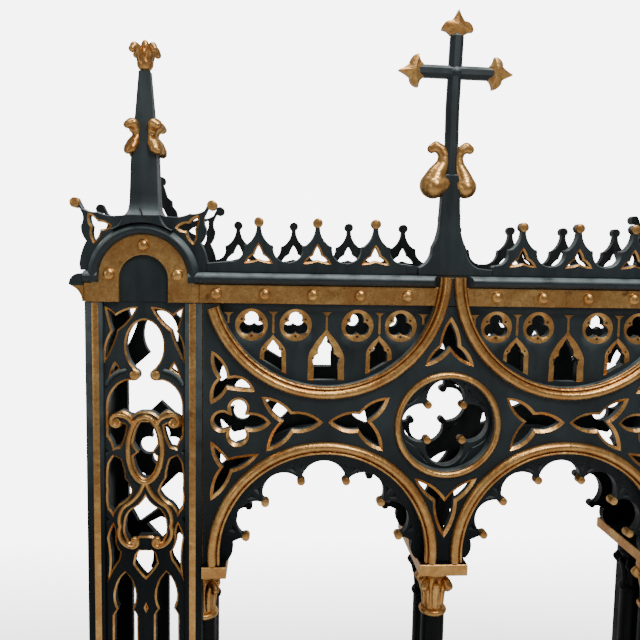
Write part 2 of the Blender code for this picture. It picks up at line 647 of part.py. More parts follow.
def gable(name, side, face, with_studs, material):
    place = across_front(side, face)
    unit = TOWER_UNIT
    centre = (TOWER_CENTRE, CORNICE_BOTTOM + 45 * unit)
    near_end = -(TOWER_WIDTH / 2 - CORNICE_SEAT)
    far_end = TOWER_WIDTH / 2

    def drawn(points):
        return [(TOWER_CENTRE + x, CORNICE_BOTTOM + z) for x, z in placed(points, unit)]
    right = drawn(ear(122))
    left = [(2 * TOWER_CENTRE - x, z) for x, z in reversed(right)]
    shoulder = CREST_BOTTOM
    right[0] = (right[0][0], shoulder)
    left[-1] = (left[-1][0], shoulder)
    outline = [(TOWER_CENTRE + near_end, CORNICE_BOTTOM), (TOWER_CENTRE + far_end, CORNICE_BOTTOM),
               (TOWER_CENTRE + far_end, shoulder)] + right + left + [(TOWER_CENTRE + near_end, shoulder)]
    triangle = foils([(101, 165, .05, 2), (68, 143, 0, 1), (98, 122, 0, 1)], face)
    openings = [drawn(triangle), drawn(flipped(triangle))]
    body = plate(name, outline, openings, BEAM_BACK, BOARD_FRONT - 6 * BITE, place, material)

    band_radius = -near_end
    recess = GABLE_HEAD_WIDTH
    arch = arc(centre[0], centre[1], band_radius - BITE, 0, 180, ARCH_STEPS)
    low = CORNICE_BOTTOM + BAND_HEIGHT
    pocket = arc(centre[0], centre[1], recess, 180, 0, 6)
    band_outline = [(TOWER_CENTRE + far_end, CORNICE_BOTTOM), (TOWER_CENTRE + far_end, low)]
    band_outline += [(arch[0][0], low)] + arch + [(arch[-1][0], low), (TOWER_CENTRE + near_end, low)]
    band_outline += [(TOWER_CENTRE + near_end, CORNICE_BOTTOM), (centre[0] - recess, CORNICE_BOTTOM)]
    band_outline += pocket + [(centre[0] + recess, CORNICE_BOTTOM)]
    band = plate("band_guide_" + name, band_outline, [], BOARD_FRONT - 7 * BITE, BOARD_FRONT + BAND_PROUD,
                 place, material)
    hood_inner = band_radius - ROLL_HEIGHT
    section = round_section(hood_inner, band_radius, BOARD_FRONT - 8 * BITE, BOARD_FRONT + ROLL_PROUD)
    drop = math.degrees(math.asin(max(0.0, centre[1] - low) / band_radius))
    sweep = (-drop, 180 + drop, MOULDING_STEPS - 2)
    hood = moulding("hood_guide_" + name, centre, section, sweep, place, material)
    half = SPIRE_FOOT
    seat_top = CORNICE_BOTTOM + 167 * unit
    seat_bottom = seat_top - SEAT_HEIGHT
    seat_outline = [(TOWER_CENTRE - half, seat_bottom), (TOWER_CENTRE + half, seat_bottom),
                    (TOWER_CENTRE + half, seat_top), (TOWER_CENTRE - half, seat_top)]
    if face == FRONT:
        crown = plate("seat_guide_" + name, seat_outline, [], BEAM_BACK - SEAT_BEHIND, BOARD_FRONT + SEAT_PROUD,
                      place, material)
    else:
        crown = back_finial("finial_guide_" + name, side, material)
    combine(body, [band, hood, crown])
    if with_studs:
        ring = (band_radius - ROLL_HEIGHT + recess) / 2
        turns = [math.radians(a) for a in (8, 90, 172)]
        places = [(side * (centre[0] + ring * math.cos(t)), centre[1] + ring * math.sin(t)) for t in turns]
        combine(body, [studs(places, BOARD_FRONT + BAND_PROUD, face, material)])
    return body


def spire(name, side, material):
    """Square tapering spire with a crocket collar and a bud on top, carved as one."""
    unit = SPIRE_HEIGHT / 333
    foot = CORNICE_BOTTOM + 167 * TOWER_UNIT + GAP
    middle = (BEAM_BACK - SEAT_BEHIND + BOARD_FRONT + SEAT_PROUD) / 2
    levels = [(34.5, 0), (30, 12), (28, 40), (25, 113), (17, 193), (10, 280), (13, 290), (14, 306), (16, 318),
              (5, 333)]
    shape = bmesh.new()
    rings = []
    for half, up in levels:
        half = half * unit if up else SPIRE_FOOT
        corners = [(-half, -half), (half, -half), (half, half), (-half, half)]
        rings.append([shape.verts.new((side * TOWER_CENTRE + x, -middle + y, foot + up * unit)) for x, y in corners])
    for low, high in zip(rings, rings[1:]):
        for i in range(4):
            shape.faces.new([low[i], low[(i + 1) % 4], high[(i + 1) % 4], high[i]])
    shape.faces.new(rings[0][::-1])
    shape.faces.new(rings[-1])
    body = add(name, shape, material)

    def leaf_outline(bottom, reach, curl):
        right = [(6, bottom), (0.6 * reach, bottom + 2), (reach, bottom + 18), (0.45 * reach, bottom + 42),
                 (curl, bottom + 60), (0.7 * curl, bottom + 73), (4, bottom + 68)]
        return right + [(-x, z) for x, z in reversed(right)]
    collar = [(x * unit, z * unit) for x, z in leaf_outline(113, 37, 37)]
    curls_right = [(6, 300), (18, 302), (28, 313), (22, 325), (6, 320)]
    curls = [(x * unit, z * unit) for x, z in curls_right + [(-x, z) for x, z in reversed(curls_right)]]
    guides = []
    for label, outline, thick in (("collar", collar, 0.010), ("bud", curls, 0.007)):
        for turn in ("x", "y"):
            points = [(x, foot + z) for x, z in outline]

            def place(a, b, t, turn=turn):
                across, deep = (a, t) if turn == "x" else (t, a)
                return (side * TOWER_CENTRE + across, -middle + deep, b)
            guides.append(plate(f"{label}_guide_{name}_{turn}", points, [], -thick, thick, place, material))
    return combine(body, guides)


def back_finial_outline():
    """Small pierced point with a ball, on top of a back gable."""
    right = [(34, 0), (32, 8), (24, 32), (20, 34), (8, 46)]
    ball = arc(0, 62, 10, -50, 230, 4)
    left = [(-x, z) for x, z in reversed(right)]
    return right + ball + left


def back_finial(name, side, material):
    unit = SPIRE_FOOT / 34.5
    foot = CORNICE_BOTTOM + 160 * TOWER_UNIT
    outline = [(TOWER_CENTRE + x * unit, foot + z * unit) for x, z in back_finial_outline()]
    hole = [(TOWER_CENTRE + x * unit, foot + z * unit) for x, z in [(-14, 12), (14, 12), (0, 38)]]
    return plate(name, outline, [hole], CREST_BACK, CREST_FRONT, across_front(side, BACK), material)


# Cross
def cross(name, material):
    unit = CROSS_HEIGHT / 517
    foot = CREST_BOTTOM
    middle = (CREST_FRONT + CREST_BACK) / 2
    half = CROSS_SHAFT / 2
    bar = half / unit

    def at(points):
        return [(x * unit, foot + z * unit) for x, z in points]
    right = [(71, 0), (70, 16), (58, 32), (38, 60), (29, 85), (24, 110), (21, 150), (bar, 258), (bar, 386),
             (84, 387), (84, 413), (bar, 414), (bar, 470)]
    outline = right + [(-x, z) for x, z in reversed(right)]
    body = plate(name, at(outline), [], middle - half, middle + half, across_front(RIGHT, FRONT), material)
    collar_right = [(8, 150), (36, 152), (58, 172), (50, 190), (27, 212), (27, 222), (40, 236), (46, 248),
                    (36, 260), (18, 252), (10, 256)]
    collar = collar_right + [(-x, z) for x, z in reversed(collar_right)]
    guides = []
    guides.append(plate("collar_guide_cross", at(collar), [], middle - 0.020, middle + 0.020,
                        across_front(RIGHT, FRONT), material))

    def fleur(centre, turn):
        shape = [(-14, -8), (-9, -27), (6, -27), (14, -12), (38, 0), (14, 12), (6, 27), (-9, 27), (-14, 8)]
        cos, sin = math.cos(math.radians(turn)), math.sin(math.radians(turn))
        return [(centre[0] + x * cos - z * sin, centre[1] + x * sin + z * cos) for x, z in shape]
    for i, (centre, turn) in enumerate((((80, 400), 0), ((0, 479), 90), ((-80, 400), 180))):
        guides.append(plate(f"fleur_guide_{i}", at(fleur(centre, turn)), [], middle - 0.016, middle + 0.016,
                            across_front(RIGHT, FRONT), material))
    return combine(body, guides)


# Columns, imposts and plinth
def column(name, x, y, half_side, material):
    bottom = PILLAR_BOTTOM
    top = IMPOST_BOTTOM - GAP
    capital = top - CAPITAL_HEIGHT
    r = SHAFT_RADIUS
    base = [(0, bottom), (1.55 * r, bottom), (1.55 * r, bottom + 0.3 * BASE_HEIGHT),
            (1.25 * r, bottom + 0.6 * BASE_HEIGHT), (r, bottom + BASE_HEIGHT)]
    shaft = [(r, capital - 0.012), (1.18 * r, capital - 0.006), (1.05 * r, capital)]
    bell = [(1.15 * r, capital + 0.5 * CAPITAL_HEIGHT), (1.62 * r, capital + 0.86 * CAPITAL_HEIGHT),
            (1.62 * r, top), (0, top)]
    return turned(name, base + shaft + bell, (x, y, 0), ROUND_SIDES, half_side, material)


def impost(name, x0, x1, material):
    """Slab across a column pair, tapered below at each end that isn't against a tower."""
    left, right = [IMPOST_LIP if abs(x) < TOWER_INNER - BITE else 0 for x in (x0, x1)]
    levels = [(x0 + left, x1 - right, IMPOST_HALF_DEPTH - IMPOST_LIP, IMPOST_BOTTOM),
              (x0, x1, IMPOST_HALF_DEPTH, IMPOST_BOTTOM + 0.55 * IMPOST_HEIGHT),
              (x0, x1, IMPOST_HALF_DEPTH, IMPOST_TOP)]
    return tiers(name, levels, material)


def plinth(name, material):
    reach = TOWER_OUTER + PLINTH_MARGIN
    depth = PLINTH_HALF_DEPTH
    levels = [(-reach, reach, depth, 0), (-reach, reach, depth, 0.7 * PLINTH_HEIGHT),
              (-reach + 0.006, reach - 0.006, depth - 0.006, 0.76 * PLINTH_HEIGHT),
              (-reach + 0.014, reach - 0.014, depth - 0.014, 0.95 * PLINTH_HEIGHT),
              (-reach + 0.014, reach - 0.014, depth - 0.014, PLINTH_HEIGHT)]
    return tiers(name, levels, material)


def side_cornice(name, side, material):
    """Cove and roll along a tower's outer side."""
    back = TOWER_OUTER + GAP
    top = CORNICE_BOTTOM + BAND_HEIGHT
    cove = [(back + 0.003, CORNICE_BOTTOM), (back + 0.006, CORNICE_BOTTOM + 0.014),
            (back + 0.014, CORNICE_BOTTOM + 0.027), (back + 0.026, CORNICE_BOTTOM + 0.032)]
    nose = [(back + 0.028, top - 0.003), (back + 0.024, top + 0.006), (back + 0.014, top + 0.015),
            (back + 0.003, top + 0.018)]
    outline = [(back, CORNICE_BOTTOM)] + cove + nose + [(back, top + 0.018)]
    reach = BOARD_FRONT + BAND_PROUD
    return plate(name, outline, [], -reach, reach, along_y(side), material)


def tower_frame(side, word, green, dark):
    """Corner posts and side boards of one tower."""
    outer, inner = TOWER_OUTER, TOWER_INNER
    for across, x0, x1 in (("outer", outer - POST, outer), ("inner", inner, inner + POST)):
        for depth, face in (("front", FRONT), ("back", BACK)):
            near, far = TOWER_HALF_DEPTH - POST, TOWER_HALF_DEPTH
            spans = (sorted((side * x0, side * x1)), sorted((face * near, face * far)), (PILLAR_BOTTOM, BOARD_TOP))
            block(f"{word}_tower_post_{depth}_{across}", spans, green)
    reach = TOWER_HALF_DEPTH - POST - GAP
    top = CORNICE_BOTTOM + BAND_HEIGHT + 0.018
    start = outer - SIDE_RECESS - SIDE_BOARD
    block(f"{word}_tower_outer_side", (sorted((side * start, side * (outer))), (-reach, reach),
                                       (PILLAR_BOTTOM, top)), green)
    start = inner + SIDE_RECESS
    block(f"{word}_tower_inner_side", (sorted((side * start, side * (start + SIDE_BOARD))), (-reach, reach),
                                       (PILLAR_BOTTOM, top)), dark)


def build():
    clear_scene()
    green = paint("dark green paint", (0.022, 0.034, 0.031), 0.45, 0.0)
    dark = paint("shaded green paint", (0.010, 0.014, 0.013), 0.55, 0.0)
    gold = paint("old gilding", (0.42, 0.24, 0.07), 0.38, 0.75)

    plinth("plinth", green)
    faces = (("front", FRONT), ("back", BACK))
    sides = (("left", LEFT), ("right", RIGHT))
    for depth, face in faces:
        board = green if face == FRONT else dark
        trim = gold if face == FRONT else dark
        plate(f"{depth}_arcade_board", arcade_outline(), arcade_openings(face), BOARD_BACK, BOARD_FRONT,
              across_front(RIGHT, face), board)
        quatrefoil(f"{depth}_quatrefoil", face, board)
        rosette_ring(f"{depth}_rosette_ring", face, trim)
        hanging_arcs(f"{depth}_hanging_arcs", face, trim)
        cornice(f"{depth}_cornice", face, face == FRONT, board)
        column(f"{depth}_middle_column", 0, face * COLUMN_OFFSET, 0, board)
        for word, side in sides:
            tympanum(f"{depth}_{word}_tympanum", side, face, board)
            cusping(f"{depth}_{word}_arch_cusping", side, face, board)
            arch_moulding(f"{depth}_{word}_arch_moulding", side, face, trim)
            openings = panel_openings if face == FRONT else back_openings
            tower_panel(f"{depth}_{word}_tower_panel", side, face, openings, board)
            gable(f"{depth}_{word}_gable", side, face, face == FRONT, board)
            wall = side * (TOWER_INNER + SIDE_RECESS - GAP)
            column(f"{depth}_{word}_half_column", wall, face * COLUMN_OFFSET, -side, board)
    for word, side in sides:
        tower_frame(side, word, green, dark)
        side_cornice(f"{word}_side_cornice", side, green)
        spire(f"{word}_spire", side, green)
        ends = sorted((side * (TOWER_INNER - GAP), side * (TOWER_INNER - IMPOST_HALF_WIDTH)))
        impost(f"{word}_impost", ends[0], ends[1], gold)
    impost("middle_impost", -IMPOST_HALF_WIDTH, IMPOST_HALF_WIDTH, gold)
    ear_edge = TOWER_CENTRE - 122 * TOWER_UNIT - GAP
    front_tips = [CREST_FIRST_FRONT + i * CREST_PITCH_FRONT for i in range(3)]
    cross_edge = 0.071 * CROSS_HEIGHT / 0.517 + GAP
    for word, side in sides:
        cresting(f"front_{word}_cresting", front_tips, cross_edge, ear_edge, CREST_PITCH_FRONT, FRONT, side, green)
    back_tips = [(i - 3.5) * CREST_PITCH_BACK for i in range(8)]
    cresting("back_cresting", back_tips, -ear_edge, ear_edge, CREST_PITCH_BACK, BACK, RIGHT, dark)
    cross("cross", green)


build()
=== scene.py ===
"""Looks of the oratory altar canopy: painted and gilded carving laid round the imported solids.

Outlines are drawn in millimetres, as (across, up) points with a depth in front of the middle plane,
and go into the scene in metres. The left half is the right half mirrored.
"""

import math

import bmesh
import bpy
from mathutils import Matrix, Vector
from mathutils.geometry import delaunay_2d_cdt


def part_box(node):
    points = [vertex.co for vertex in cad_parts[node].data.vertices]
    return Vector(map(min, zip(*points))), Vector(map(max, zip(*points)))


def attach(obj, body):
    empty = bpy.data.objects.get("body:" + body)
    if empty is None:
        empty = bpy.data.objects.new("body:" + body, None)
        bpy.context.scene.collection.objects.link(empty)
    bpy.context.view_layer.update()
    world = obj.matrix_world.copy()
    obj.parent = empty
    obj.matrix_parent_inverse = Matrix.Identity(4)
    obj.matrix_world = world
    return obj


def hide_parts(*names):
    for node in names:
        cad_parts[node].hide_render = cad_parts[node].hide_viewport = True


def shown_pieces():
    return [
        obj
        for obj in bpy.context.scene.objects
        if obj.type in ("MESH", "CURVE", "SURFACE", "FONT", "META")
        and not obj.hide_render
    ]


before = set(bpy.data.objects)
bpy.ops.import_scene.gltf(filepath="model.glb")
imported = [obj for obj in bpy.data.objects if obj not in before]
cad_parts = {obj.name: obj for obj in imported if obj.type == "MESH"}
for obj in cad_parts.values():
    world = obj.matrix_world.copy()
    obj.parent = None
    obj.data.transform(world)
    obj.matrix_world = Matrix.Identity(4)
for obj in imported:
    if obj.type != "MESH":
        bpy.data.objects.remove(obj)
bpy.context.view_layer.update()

MM = 0.001
LEFT, RIGHT = -1, 1
FRONT, BACK = -1, 1
SIDES = (("left", LEFT), ("right", RIGHT))
FACES = (("front", FRONT), ("back", BACK))
# Finishes: paint, gilding, and a near-black that is painted shade in drilled holes and the dark of joints and
# cracks
PAINT, GILT, SHADE_AND_JOINT_DARK = 0, 1, 2


def low(node, axis):
    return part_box(node)[0][axis] / MM


def high(node, axis):
    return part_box(node)[1][axis] / MM


def side_name(side):
    return "left" if side == LEFT else "right"


def gilt_in_front(face):
    """Gilding on the front screen, paint on the plainer back one."""
    return GILT if face == FRONT else PAINT


# Levels and depths, read from the solids
IMPOST_BOTTOM = low("middle_impost", 2)
IMPOST_TOP = high("middle_impost", 2)
CORNICE_BOTTOM = low("front_cornice", 2)
CORNICE_TOP = high("front_cornice", 2)
PLINTH_TOP = high("plinth", 2)
BOARD_FRONT = -low("front_arcade_board", 1)
BOARD_BACK = -high("front_arcade_board", 1)
LAYER_FRONT = -low("front_left_tympanum", 1)
LAYER_BACK = -high("front_left_tympanum", 1)
PANEL_FRONT = -low("front_left_tower_panel", 1)
PANEL_BACK = -high("front_left_tower_panel", 1)
CREST_FRONT = -low("front_left_cresting", 1)
CREST_BACK = -high("front_left_cresting", 1)
BEAM_BACK = -high("front_cornice", 1)
BOARD_END = high("front_arcade_board", 0)
TOWER_OUTER = high("right_tower_post_front_outer", 0)
TOWER_INNER = low("right_tower_post_front_inner", 0)
TOWER_CENTRE = (TOWER_OUTER + TOWER_INNER) / 2
POST = TOWER_OUTER - low("right_tower_post_front_outer", 0)
BOARD_TOP = high("front_arcade_board", 2)
CREST_BOTTOM = low("front_left_cresting", 2)
CROSS_DEPTH = -(low("cross", 1) + high("cross", 1)) / 2
SPIRE_DEPTH = -(low("left_spire", 1) + high("left_spire", 1)) / 2

# Driving dimensions of the carving
BAY = 250
SPRING = IMPOST_TOP + 20
ARC_CENTRE = SPRING + 572
ARCH_OUTER, ARCH_INNER = 236, 211
ARC_OUTER, ARC_INNER = 248, 223
ROLL_RISE = 12
ROSE_CENTRE = SPRING + 271
ROSE_OUTER, ROSE_INNER = 110, 97
BAND_HEIGHT = 37
ROLL_HEIGHT = 23
BAND_PROUD = 3
ROLL_PROUD = 13
GILT_WIDTH = 6.0
GILT_SINK = 4.5
THIN_GILT = 3.6
POCKET_SINK = 4
SPIRE_SHIFT = 3
MITRE = 0.8
CORNER = 0.9
STUD_RADIUS = 12
STUD_RISE = 9.5
BALL = 9.6
CREST_HEIGHT = 109
CREST_PITCH = 116
BACK_CREST_PITCH = 125.4
COLUMN_DEPTH = 42.5
GAP = 0.3
SMOOTH_STEPS = 60
SHARP_EDGE = 32
TURNED_SIDES = 48
ROOT_DEPTH = 8
BOARD_RIM = (1.4, 1.6, PAINT)

# Offset outlines: a sharp corner reaches out by at most the width over this limit
MITRE_LIMIT = 0.42
PINCH_PASSES = 12
SAME_POINT = 1e-5


# Outlines
def arc(centre_x, centre_z, radius, start, end, steps, radius_z=None):
    tall = radius if radius_z is None else radius_z
    turns = [math.radians(start + (end - start) * i / steps) for i in range(steps + 1)]
    return [(centre_x + radius * math.cos(t), centre_z + tall * math.sin(t)) for t in turns]


def bow(a, b, rise, steps):
    """Points from a up to b, without b, on an arc that swells to the right by rise times its chord."""
    if rise == 0:
        return [a]
    chord = math.dist(a, b)
    along = ((b[0] - a[0]) / chord, (b[1] - a[1]) / chord)
    out = (along[1], -along[0])
    sag = rise * chord
    radius = (chord * chord / 4 + sag * sag) / (2 * sag)
    half = 2 * math.atan(2 * rise)
    middle = [(a[i] + b[i]) / 2 + out[i] * (sag - radius) for i in (0, 1)]
    points = []
    for i in range(steps):
        turn = -half + 2 * half * i / steps
        up, across = radius * math.cos(turn), radius * math.sin(turn)
        points.append(tuple(middle[k] + out[k] * up + along[k] * across for k in (0, 1)))
    return points


def foils(corners):
    """A closed outline from corners (x, z, rise), each edge swelling outwards by its rise."""
    points = []
    for i, (x, z, rise) in enumerate(corners):
        steps = 7 if abs(rise) < 0.3 else 16
        points += bow((x, z), corners[(i + 1) % len(corners)][:2], rise, steps)
    return points


def flipped(points):
    return [(-x, z) for x, z in reversed(points)]


def from_right_half(points):
    """A closed loop from its right half, whose first point lies on the middle line."""
    return points[::-1] + [(-x, z) for x, z in points[1:]]


def moved(points, dx, dz):
    return [(x + dx, z + dz) for x, z in points]


def counterclockwise(points):
    pairs = zip(points, points[1:] + points[:1])
    area = sum(a[0] * b[1] - b[0] * a[1] for a, b in pairs)
    return points if area > 0 else points[::-1]


def offset(loop, width):
    """The counterclockwise loop grown by width; edges that would turn over are pinched to a point."""
    count = len(loop)
    base = [Vector(point) for point in loop]
    grown = []
    for i, point in enumerate(base):
        before = (point - base[i - 1]).normalized()
        after = (base[(i + 1) % count] - point).normalized()
        first, second = Vector((before.y, -before.x)), Vector((after.y, -after.x))
        middle = first + second
        middle = middle.normalized() if middle.length > 1e-4 else first
        grown.append(point + middle * width / max(middle.dot(first), MITRE_LIMIT))
    for _ in range(PINCH_PASSES):
        turned_over = False
        for i in range(count):
            j = (i + 1) % count
            if (grown[j] - grown[i]).dot(base[j] - base[i]) < -1e-9:
                grown[i] = grown[j] = (grown[i] + grown[j]) / 2
                turned_over = True
        if not turned_over:
            break
    return [tuple(point) for point in grown]


# Places: (across, up, depth) in millimetres to a point in metres
def on_face(side, face):
    return lambda a, b, t: Vector((side * a, face * t, b)) * MM


def on_end(side):
    return lambda a, b, t: Vector((side * a, t, b)) * MM


def along_front(face):
    return lambda a, b, t: Vector((t, face * a, b)) * MM


# Objects and meshes
def in_scene(name, data):
    item = bpy.data.objects.new(name, data)
    bpy.context.scene.collection.objects.link(item)
    return item


def as_mesh(name, shape):
    """The mesh of a shape, which is then dropped."""
    mesh = bpy.data.meshes.new(name)
    shape.to_mesh(mesh)
    shape.free()
    return mesh


# Building blocks: each part is a closed shell that joins the piece's shape
def absorb(shape, part, finish=None):
    bmesh.ops.remove_doubles(part, verts=part.verts, dist=1e-6)
    bmesh.ops.recalc_face_normals(part, faces=part.faces)
    if finish is not None:
        for face in part.faces:
            face.material_index = finish
    mesh = as_mesh("part", part)
    shape.from_mesh(mesh)
    bpy.data.meshes.remove(mesh)


def within(x, z, loop):
    """Whether the loop runs round the point."""
    turns = 0
    for (ax, az), (bx, bz) in zip(loop, loop[1:] + loop[:1]):
        if (az <= z) != (bz <= z):
            left = (bx - ax) * (z - az) > (x - ax) * (bz - az)
            if left == (bz > az):
                turns += 1 if left else -1
    return turns != 0


def fill(part, loops, depth, place, finish):
    """Faces over the first loop, left open inside the others."""
    points, rings = [], []
    spans = [[f(p[axis] for p in loop) for axis in (0, 1) for f in (min, max)] for loop in loops]
    for loop in loops:
        ring = []
        for point in counterclockwise(loop):
            if not ring or math.dist(point, points[-1]) > SAME_POINT:
                ring.append(len(points))
                points.append(Vector(point))
        rings.append(ring)
    flat, _, triangles, _, _, _ = delaunay_2d_cdt(points, [], rings, 0, 1e-6)
    corners = [part.verts.new(place(x, z, depth)) for x, z in flat]
    for triangle in triangles:
        x, z = (sum(flat[i][axis] for i in triangle) / 3 for axis in (0, 1))
        round_it = [
            left <= x <= right and bottom <= z <= top and within(x, z, loop)
            for (left, right, bottom, top), loop in zip(spans, loops)
        ]
        if round_it[0] and not any(round_it[1:]):
            part.faces.new([corners[i] for i in triangle]).material_index = finish
    loose = [corner for corner in corners if not corner.link_faces]
    bmesh.ops.delete(part, geom=loose, context="VERTS")


def strip(part, first, second, finish, closed=True):
    """Faces between two rows of points of equal length."""
    a = [part.verts.new(point) for point in first]
    b = [part.verts.new(point) for point in second]
    for i in range(len(a) if closed else len(a) - 1):
        j = (i + 1) % len(a)
        part.faces.new([a[i], a[j], b[j], b[i]]).material_index = finish


def sunk(mouth, width=GILT_WIDTH, sink=GILT_SINK, finish=GILT):
    """An opening with a sloping edge, from its mouth on the face to its smaller edge below."""
    mouth = counterclockwise(mouth)
    return offset(mouth, -width), mouth, sink, finish


def add_panel(shape, outline, openings, back, front, place, rim=(CORNER, CORNER, PAINT), pockets=()):
    """A board cut to an outline, with sunk openings (edge, mouth, sink, finish) and a rim of its own."""
    part = bmesh.new()
    width, sink, finish = rim
    outline = counterclockwise(outline)
    slopes = [(outline, offset(outline, -width), sink, finish)] + openings
    pockets = [counterclockwise(points) for points in pockets]
    fill(part, [slope[1] for slope in slopes] + pockets, front, place, PAINT)
    for points in pockets:
        middle = [sum(p[i] for p in points) / len(points) for i in (0, 1)]
        fan(part, [place(*p, front) for p in points], place(*middle, front - POCKET_SINK), PAINT)
    fill(part, [slope[0] for slope in slopes], back, place, PAINT)
    for edge, mouth, depth, finish in slopes:
        strip(part, [place(*p, front) for p in mouth], [place(*p, front - depth) for p in edge], finish)
        strip(part, [place(*p, front - depth) for p in edge], [place(*p, back) for p in edge], PAINT)
    absorb(shape, part)


def add_plate(shape, outline, back, front, place, finish, rim=CORNER):
    """A small raised or planted shape in one finish."""
    part = bmesh.new()
    outline = counterclockwise(outline)
    inner = offset(outline, -rim)
    fill(part, [inner], front, place, finish)
    fill(part, [outline], back, place, finish)
    strip(part, [place(*p, front) for p in inner], [place(*p, front - rim) for p in outline], finish)
    strip(part, [place(*p, front - rim) for p in outline], [place(*p, back) for p in outline], finish)
    absorb(shape, part, finish)


def fan(part, rim, tip, finish):
    """Faces from a closed rim to one point."""
    corners = [part.verts.new(p) for p in rim]
    top = part.verts.new(tip)
    for a, b in zip(corners, corners[1:] + corners[:1]):
        part.faces.new((a, b, top)).material_index = finish


def add_relief(shape, outline, middle, back, rim, crown, place, finish):
    """A carved shape whose faces rise from its rim to one point, in ridges and hollows."""
    part = bmesh.new()
    outline = counterclockwise(outline)
    edge = [place(*p, rim) for p in outline]
    fill(part, [outline], back, place, finish)
    strip(part, edge, [place(*p, back) for p in outline], finish)
    fan(part, edge, place(*middle, crown), finish)
    absorb(shape, part, finish)


def add_block(shape, spans, finish, rim=1.2):
    """A square-cut block (x, y and z spans in millimetres) with eased edges."""
    part = bmesh.new()
    bmesh.ops.create_cube(part, size=1)
    size = [b - a for a, b in spans]
    middle = [(a + b) / 2 for a, b in spans]
    bmesh.ops.scale(part, vec=Vector(size) * MM, verts=part.verts)
    bmesh.ops.translate(part, vec=Vector(middle) * MM, verts=part.verts)
    bmesh.ops.bevel(part, geom=part.edges[:], offset=rim * MM, segments=2, affect="EDGES", profile=0.5)
    absorb(shape, part, finish)


def add_sweep(shape, rings, finish, closed=False):
    """A skin over rings of points; open runs get flat ends."""
    part = bmesh.new()
    rows = [[part.verts.new(point) for point in ring] for ring in rings]
    pairs = list(zip(rows, rows[1:] + rows[:1])) if closed else list(zip(rows, rows[1:]))
    for row, following in pairs:
        for i in range(len(row)):
            j = (i + 1) % len(row)
            part.faces.new([row[i], row[j], following[j], following[i]])
    if not closed:
        part.faces.new(rows[0])
        part.faces.new(rows[-1])
    absorb(shape, part, finish)


def roll_section(inner, outer, base, top, quirk=1.5, bead=0.26):
    """Half-round section with a low bead along its inner side and a small square step at each foot."""
    span, rise = outer - inner, top - base - quirk
    humps = [(inner + (1 + bead) / 2 * span, (1 - bead) / 2 * span, rise, 12)]
    if bead:
        humps.append((inner + bead / 2 * span, bead / 2 * span, 0.55 * rise, 6))
    section = [(inner, base), (outer, base)]
    for middle, half, high_point, steps in humps:
        section += arc(middle, base + quirk, half, 0, 180, steps, high_point)
    return section


def add_roll(shape, centre, section, start, end, place, finish, steps=SMOOTH_STEPS):
    """A moulding whose section (radius, depth) is carried round a centre."""
    closed = abs(end - start) == 360
    rings = []
    for i in range(steps if closed else steps + 1):
        turn = math.radians(start + (end - start) * i / steps)
        cos, sin = math.cos(turn), math.sin(turn)
        rings.append([place(centre[0] + r * cos, centre[1] + r * sin, d) for r, d in section])
    add_sweep(shape, rings, finish, closed)


def add_rod(shape, path, radius, depth, place, finish, sides=12, rise=None, turn=0.0):
    """A rounded bar laid along a path on the face; rise is how far it stands out of its middle plane."""
    tall = radius if rise is None else rise
    points = [Vector(point) for point in path]
    before, after = points[:1] + points[:-1], points[1:] + points[-1:]
    tangents = [(b - a).normalized() for a, b in zip(before, after)]
    cap = 0.55
    stations = [(points[0] - tangents[0] * cap * radius, tangents[0], cap)]
    stations += [(point, tangent, 1.0) for point, tangent in zip(points, tangents)]
    stations += [(points[-1] + tangents[-1] * cap * radius, tangents[-1], cap)]
    rings = []
    for point, tangent, share in stations:
        ring = []
        for i in range(sides):
            t = 2 * math.pi * i / sides + turn
            out, up = radius * share * math.cos(t), tall * share * math.sin(t)
            ring.append(place(point.x + tangent.y * out, point.y - tangent.x * out, depth + up))
        rings.append(ring)
    add_sweep(shape, rings, finish)


def add_knob(shape, centre, profile, place, finish, sides=28):
    """A turned knob on the face: profile (radius, depth) from its back to its crown."""
    rings = [[place(a, b, d) for a, b in arc(*centre, r, 0, 360, sides)[:-1]] for r, d in profile]
    add_sweep(shape, rings, finish)


def disc_profile(radius, back, front):
    return [(radius, back), (radius, front - 2.2), (radius - 0.7, front - 0.8), (radius - 2.2, front)]


def stud_profile(radius, base, rise):
    foot = 0.6
    dome = arc(0, base + foot, radius, 0, 90, 7, rise - foot)[:-1]
    return [(radius, base - 1)] + dome + [(0.4, base + rise)]


def add_turned(shape, x, depth, profile, finish, half_side=0):
    """A piece turned about an upright axis; half_side keeps the half that faces the left or the right."""
    start = 90 if half_side < 0 else -90
    turn = 180 if half_side else 360
    rings = []
    for r, z in profile:
        ring = arc(x, depth, r, start, start + turn, TURNED_SIDES * turn // 360)
        if not half_side:
            ring.pop()
        rings.append([Vector((a, b, z)) * MM for a, b in ring])
    add_sweep(shape, rings, finish)


